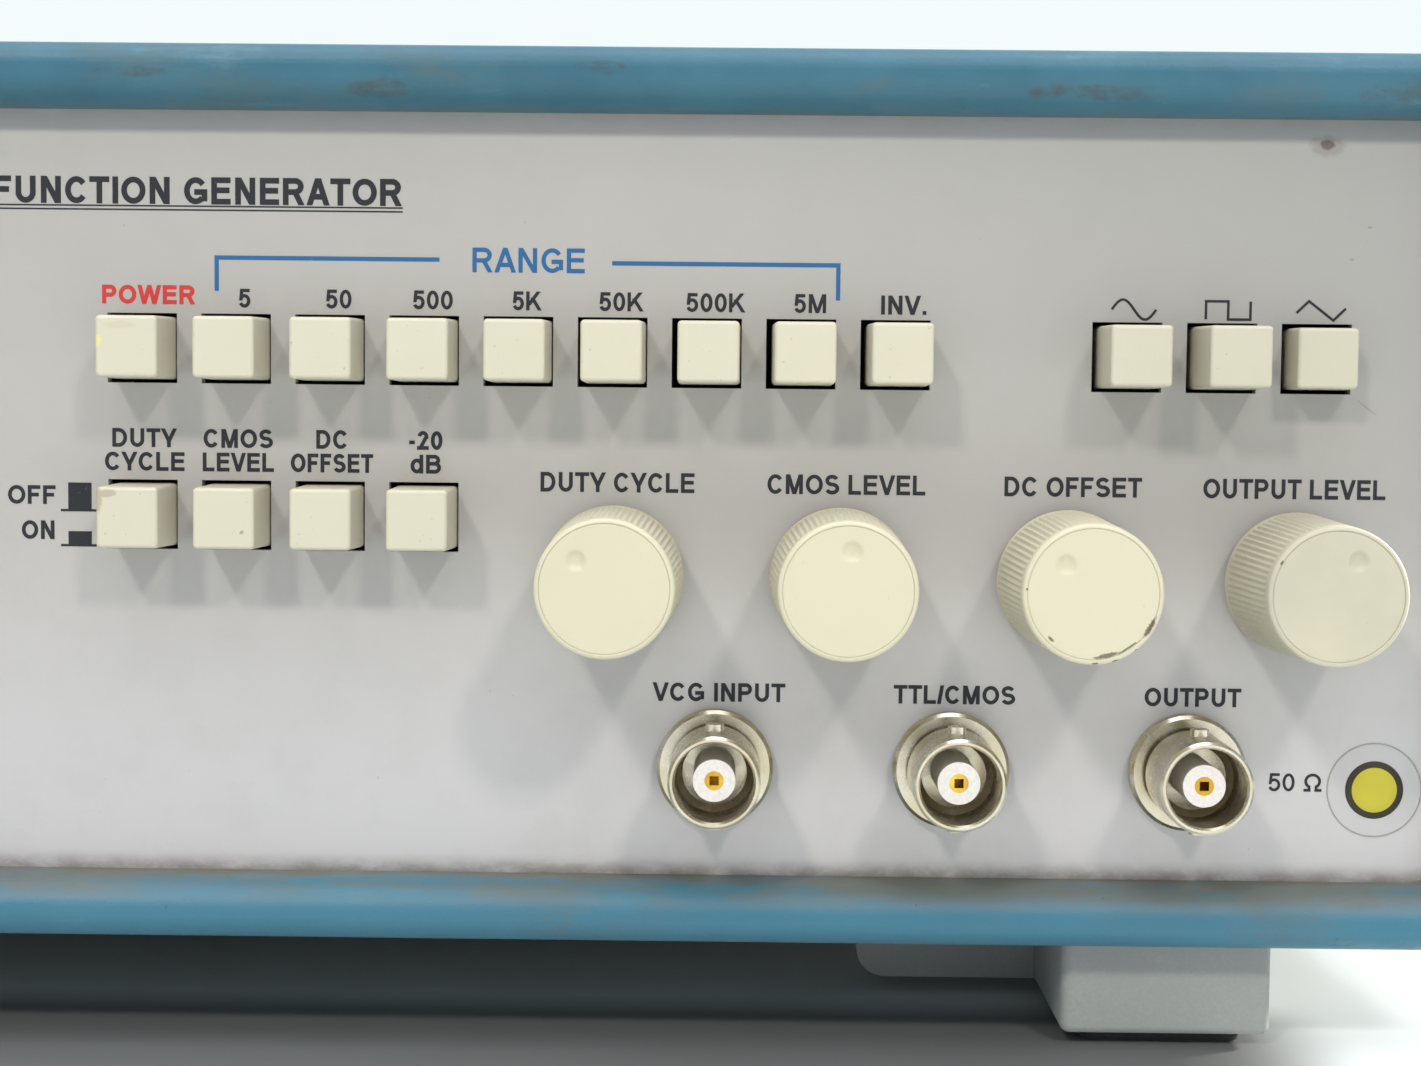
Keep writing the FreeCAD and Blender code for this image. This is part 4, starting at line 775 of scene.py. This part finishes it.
def knob_shell(name):
    """The ribbed knob: front lip, ribs, back and shaft, as one closed lathe."""
    low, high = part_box(name + "_knob")
    x, z = (low.x + high.x) / 2 / MM, (low.z + high.z) / 2 / MM
    base = (high.x - low.x) / 2 / MM
    tip = base - KNOB_TAPER
    front, back = low.y / MM, PANEL_Y - KNOB_STANDOFF
    seat = tip - DISC_RIM
    ribs = round(2 * math.pi * base / RIB_PITCH)

    def wave(angle):
        return -RIB_DEPTH * (0.5 - 0.5 * math.cos(angle * ribs)) ** 0.8

    def side(y):
        return tip + (base - tip) * (y - front) / (back - front)

    profile = [(0.0, front + 1.2), (seat, front + 1.2)]
    profile += arc(seat + 0.1, front + 0.1, 0.1, 180, 270, 2)
    profile += arc(tip - 0.42, front + 0.42, 0.42, 270, 360, 5)
    profile += [(side(front + 1.1), front + 1.1), (side(front + 1.2) - 0.12, front + 1.25),
                (side(front + 1.7) - 0.12, front + 1.7)]
    for y in (front + 2.1, front + 6.0, front + 10.0, back - 1.2):
        profile.append((side(y), y, True))
    profile += [(side(back - 0.85) - 0.1, back - 0.85), (base, back - 0.6), (base, back - 0.15),
                (base - 0.15, back), (SHAFT_RADIUS, back), (SHAFT_RADIUS, high.y / MM), (0.0, high.y / MM)]
    built = bmesh.new()
    lathe(built, x, z, profile, ribs * RIB_STEPS, wave)
    mesh = mesh_of(name + "_knob_shell", built, 40)
    hold_dirt(mesh, x, z, side, front + 1.9, back - 1.0)
    return mesh


def hold_dirt(mesh, x, z, side, start, end):
    """Marks how deep each point lies in the grooves between the ribs."""
    dirt = mesh.attributes.new("dirt", "FLOAT", "POINT")
    for vertex, mark in zip(mesh.vertices, dirt.data):
        y = vertex.co.y / MM
        if start < y < end:
            reach = math.hypot(vertex.co.x / MM - x, vertex.co.z / MM - z)
            mark.value = min(1.0, max(0.0, (side(y) - reach) / RIB_DEPTH))


def knob_disc(name, pointer):
    """The cap disc in the front of a knob, with the pointer dimple pressed in it."""
    low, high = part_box(name + "_knob")
    x, z = (low.x + high.x) / 2 / MM, (low.z + high.z) / 2 / MM
    tip = (high.x - low.x) / 2 / MM - KNOB_TAPER
    front = low.y / MM + 0.05
    edge = tip - DISC_RIM + 0.02
    profile = [(0.0, front)]
    rings = 36
    for i in range(1, rings):
        profile.append(((edge - 0.15) * i / (rings - 1), front))
    profile += arc(edge - 0.15, front + 0.15, 0.15, 300, 360, 3)
    profile += [(edge, front + 1.1), (0.0, front + 1.1)]
    built = bmesh.new()
    lathe(built, x, z, profile, 144)
    turn = math.radians(pointer)
    dimple = Vector((x + DIMPLE_PLACE * tip * math.sin(turn), z + DIMPLE_PLACE * tip * math.cos(turn)))
    for vertex in built.verts:
        if vertex.co.y / MM > front + 0.01:
            continue
        away = (Vector((vertex.co.x, vertex.co.z)) / MM - dimple).length / DIMPLE_RADIUS
        if away < 1:
            vertex.co.y += DIMPLE_DEPTH * (1 - away ** 3) * MM
    return mesh_of(name + "_knob_disc", built, 40)


def make_knobs(plain):
    offset = knob_plastic("knob_plastic_chipped", "offset_knob", OFFSET_CHIPS).material
    output = knob_plastic("knob_plastic_greyer", "output_knob", OUTPUT_CHIPS, tint(174, 170, 154)).material
    special = {"offset": offset, "output": output}
    for name, pointer in KNOB_POINTERS.items():
        material = special.get(name, plain)
        shell = add_piece(name + "_knob_shell", knob_shell(name), material, name + "_knob")
        disc = add_piece(name + "_knob_disc", knob_disc(name, pointer), material, name + "_knob")
        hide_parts(name + "_knob")


STICKER_X = 112.27
STICKER_Z = 28.2
STICKER_RADIUS = 5.1
STICKER_LINE = 0.13
RING_RADIUS = 3.1
DOT_RADIUS = 2.45


def round_sheet(name, radius, front, back, material):
    built = bmesh.new()
    edge = (back - front) * 0.4
    profile = [(0.0, front), (radius * 0.5, front), (radius - edge, front), (radius, front + edge),
               (radius, back), (0.0, back)]
    lathe(built, STICKER_X, STICKER_Z, profile, 96)
    return add_piece(name, mesh_of(name, built, 50), material, "root")


def sticker():
    """A clear round sticker with a thin edge line and a plain yellow dot in a dark ring."""
    film = Finish("sticker_film", IOR=1.45, Alpha=0.04)
    cloud = film.noise(2.0)
    film.colour(film.mix(cloud, tint(172, 172, 166), tint(184, 184, 178)))
    film.roughness(cloud, 0.18, 0.35)
    round_sheet("sticker_film", STICKER_RADIUS, PANEL_Y - 0.06, PANEL_Y + 0.02, film.material)
    rim = STICKER_RADIUS - 0.08
    turns = [math.radians(3.75 * i) for i in range(96)]
    circle = [(STICKER_X + rim * math.cos(turn), STICKER_Z + rim * math.sin(turn)) for turn in turns]
    edge = bmesh.new()
    ribbon(edge, circle, STICKER_LINE, closed=True, front=PANEL_Y - 0.065)
    finish_print("sticker_edge", edge, ink("sticker_edge", tint(150, 151, 145)).material)
    yellow = ink("sticker_yellow", tint(196, 184, 58))
    dark = ink("sticker_ring", tint(54, 50, 40))
    round_sheet("sticker_ring", RING_RADIUS, PANEL_Y - 0.08, PANEL_Y + 0.03, dark.material)
    round_sheet("sticker_dot", DOT_RADIUS, PANEL_Y - 0.1, PANEL_Y + 0.04, yellow.material)


DIGIT_COUNT = 5
DIGIT_PITCH = 12.0
SEGMENT_HALF = 0.5


def digits():
    """Unlit seven-segment digits on the faces of the five display blocks."""
    low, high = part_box("display_module")
    front = low.y / MM
    middle_x, middle_z = (low.x + high.x) / 2 / MM, (low.z + high.z) / 2 / MM
    segment = Finish("digit_segments", IOR=1.45)
    cloud = segment.noise(2.0)
    segment.colour(segment.mix(cloud, tint(120, 84, 78), tint(142, 104, 96)))
    segment.roughness(cloud, 0.3, 0.45)
    built = bmesh.new()
    near, far = front - 0.05, front + 0.05
    for i in range(DIGIT_COUNT):
        x = middle_x + (i - 2) * DIGIT_PITCH - 0.6
        for z in (middle_z - 4.6, middle_z, middle_z + 4.6):
            bar(built, x - 2.3, x + 2.3, z - SEGMENT_HALF, z + SEGMENT_HALF, near, far)
        for side in (-3.1, 3.1):
            for z in (middle_z - 2.3, middle_z + 2.3):
                bar(built, x + side - SEGMENT_HALF, x + side + SEGMENT_HALF, z - 1.6, z + 1.6, near, far)
        bar(built, x + 4.5, x + 5.4, middle_z - 5.1, middle_z - 4.2, near, far)
    add_piece("digit_segments", mesh_of("digit_segments", built), segment.material, "root")


# ---------------------------------------------------------------- room


def look():
    camera = bpy.data.cameras.new("camera")
    camera.lens = 55.96
    camera.sensor_width = 36
    camera.clip_start = 0.01
    seen = bpy.data.objects.new("camera", camera)
    bpy.context.scene.collection.objects.link(seen)
    seen.location = (0.043, PANEL_Y * MM - 0.235, 0.0687)
    aim = Euler((math.radians(86.666), 0, math.radians(0.489))).to_matrix()
    roll = Euler((0, 0, math.radians(0.57))).to_matrix()
    seen.rotation_euler = (aim @ roll).to_euler()
    bpy.context.scene.camera = seen


def lamp(name, watts, azimuth, rise, reach):
    """A soft square lamp aimed at the panel. Azimuth is from straight in front and rise is from level,
    both in degrees; reach is in metres."""
    light = bpy.data.lights.new(name, "AREA")
    light.energy = watts
    light.size = 0.1 * reach
    light.color = (1.0, 0.955, 0.885)
    placed = bpy.data.objects.new(name, light)
    bpy.context.scene.collection.objects.link(placed)
    target = Vector((0.04, PANEL_Y * MM, 0.06))
    around, up = math.radians(azimuth), math.radians(rise)
    way = Vector((math.sin(around) * math.cos(up), -math.cos(around) * math.cos(up), math.sin(up)))
    placed.location = target + way * reach
    placed.rotation_euler = way.to_track_quat("Z", "Y").to_euler()


SKY_LOW = (0.50, 0.53, 0.57, 1.0)
SKY_HIGH = (3.75, 3.78, 3.98, 1.0)
SKY_BEHIND = (0.90, 0.97, 0.975, 1.0)


def sky_colours(tree, sky):
    """Bright overhead, pale behind the object and dim low in front, so that little light gets under the
    case. The camera itself sees the pale colour all round."""
    way = tree.nodes.new("ShaderNodeTexCoord").outputs["Generated"]
    parts = tree.nodes.new("ShaderNodeSeparateXYZ")
    tree.links.new(way, parts.inputs[0])

    def share(value, low, high):
        made = tree.nodes.new("ShaderNodeMapRange")
        made.interpolation_type = "SMOOTHSTEP"
        tree.links.new(value, made.inputs["Value"])
        made.inputs["From Min"].default_value = low
        made.inputs["From Max"].default_value = high
        return made.outputs["Result"]

    def mix(portion, first, second):
        made = tree.nodes.new("ShaderNodeMix")
        made.data_type = "RGBA"
        tree.links.new(portion, made.inputs[0])
        for socket, value in ((made.inputs[6], first), (made.inputs[7], second)):
            if isinstance(value, tuple):
                socket.default_value = value
            else:
                tree.links.new(value, socket)
        return made.outputs[2]

    front = mix(share(parts.outputs["Z"], 0.68, 1.0), SKY_LOW, SKY_HIGH)
    around = mix(share(parts.outputs["Y"], -0.1, 0.5), front, SKY_BEHIND)
    seen = tree.nodes.new("ShaderNodeLightPath").outputs["Is Camera Ray"]
    tree.links.new(mix(seen, around, SKY_BEHIND), sky.inputs["Color"])
    sky.inputs["Strength"].default_value = 1.0


FLOOR_HALF = 6000.0
FLOOR_THICK = 20.0


def floor_paint():
    """Pale bench. A strip along the front edge carries a painted shadow of the case where the camera sees
    it, and lights the same.
    """
    pale = Finish("floor_pale", roughness=0.7)
    cloud = pale.noise(60.0)
    body = pale.mix(cloud, tint(196, 201, 202), tint(204, 209, 210))
    along_front = pale.both(pale.ramp(pale.y, PANEL_Y + 20.0, PANEL_Y + 8.0),
                            pale.ramp(pale.y, PANEL_Y - 34.0, PANEL_Y - 10.0))
    across = pale.ramp(pale.maths("ABSOLUTE", pale.x), 113.0, 97.0)
    seen = pale.node("ShaderNodeLightPath").outputs["Is Camera Ray"]
    shaded = pale.both(pale.both(along_front, across), seen)
    pale.colour(pale.mix(pale.both(shaded, 0.9), body, tint(78, 78, 76)))
    return pale.material


def room():
    world = bpy.data.worlds.new("studio")
    bpy.context.scene.world = world
    world.use_nodes = True
    sky = world.node_tree.nodes["Background"]
    sky_colours(world.node_tree, sky)
    built = bmesh.new()
    half = FLOOR_HALF
    prism(built, [(-half, 0.0), (half, 0.0), (half, -FLOOR_THICK), (-half, -FLOOR_THICK)], -half, half)
    ground = bpy.data.objects.new("floor", mesh_of("floor", built))
    bpy.context.scene.collection.objects.link(ground)
    ground.data.materials.append(floor_paint())
    lamp("lamp_left", 4.2, -27, 39, 1.2)
    lamp("lamp_right", 3.6, 27, 39, 1.2)
    lamp("lamp_side", 50.0, 112, 20, 1.6)
    bpy.context.scene.view_settings.view_transform = "Standard"


look()
room()
materials = paint_frame()
make_knobs(materials["knob_plastic"])
print_panel()
sticker()
digits()
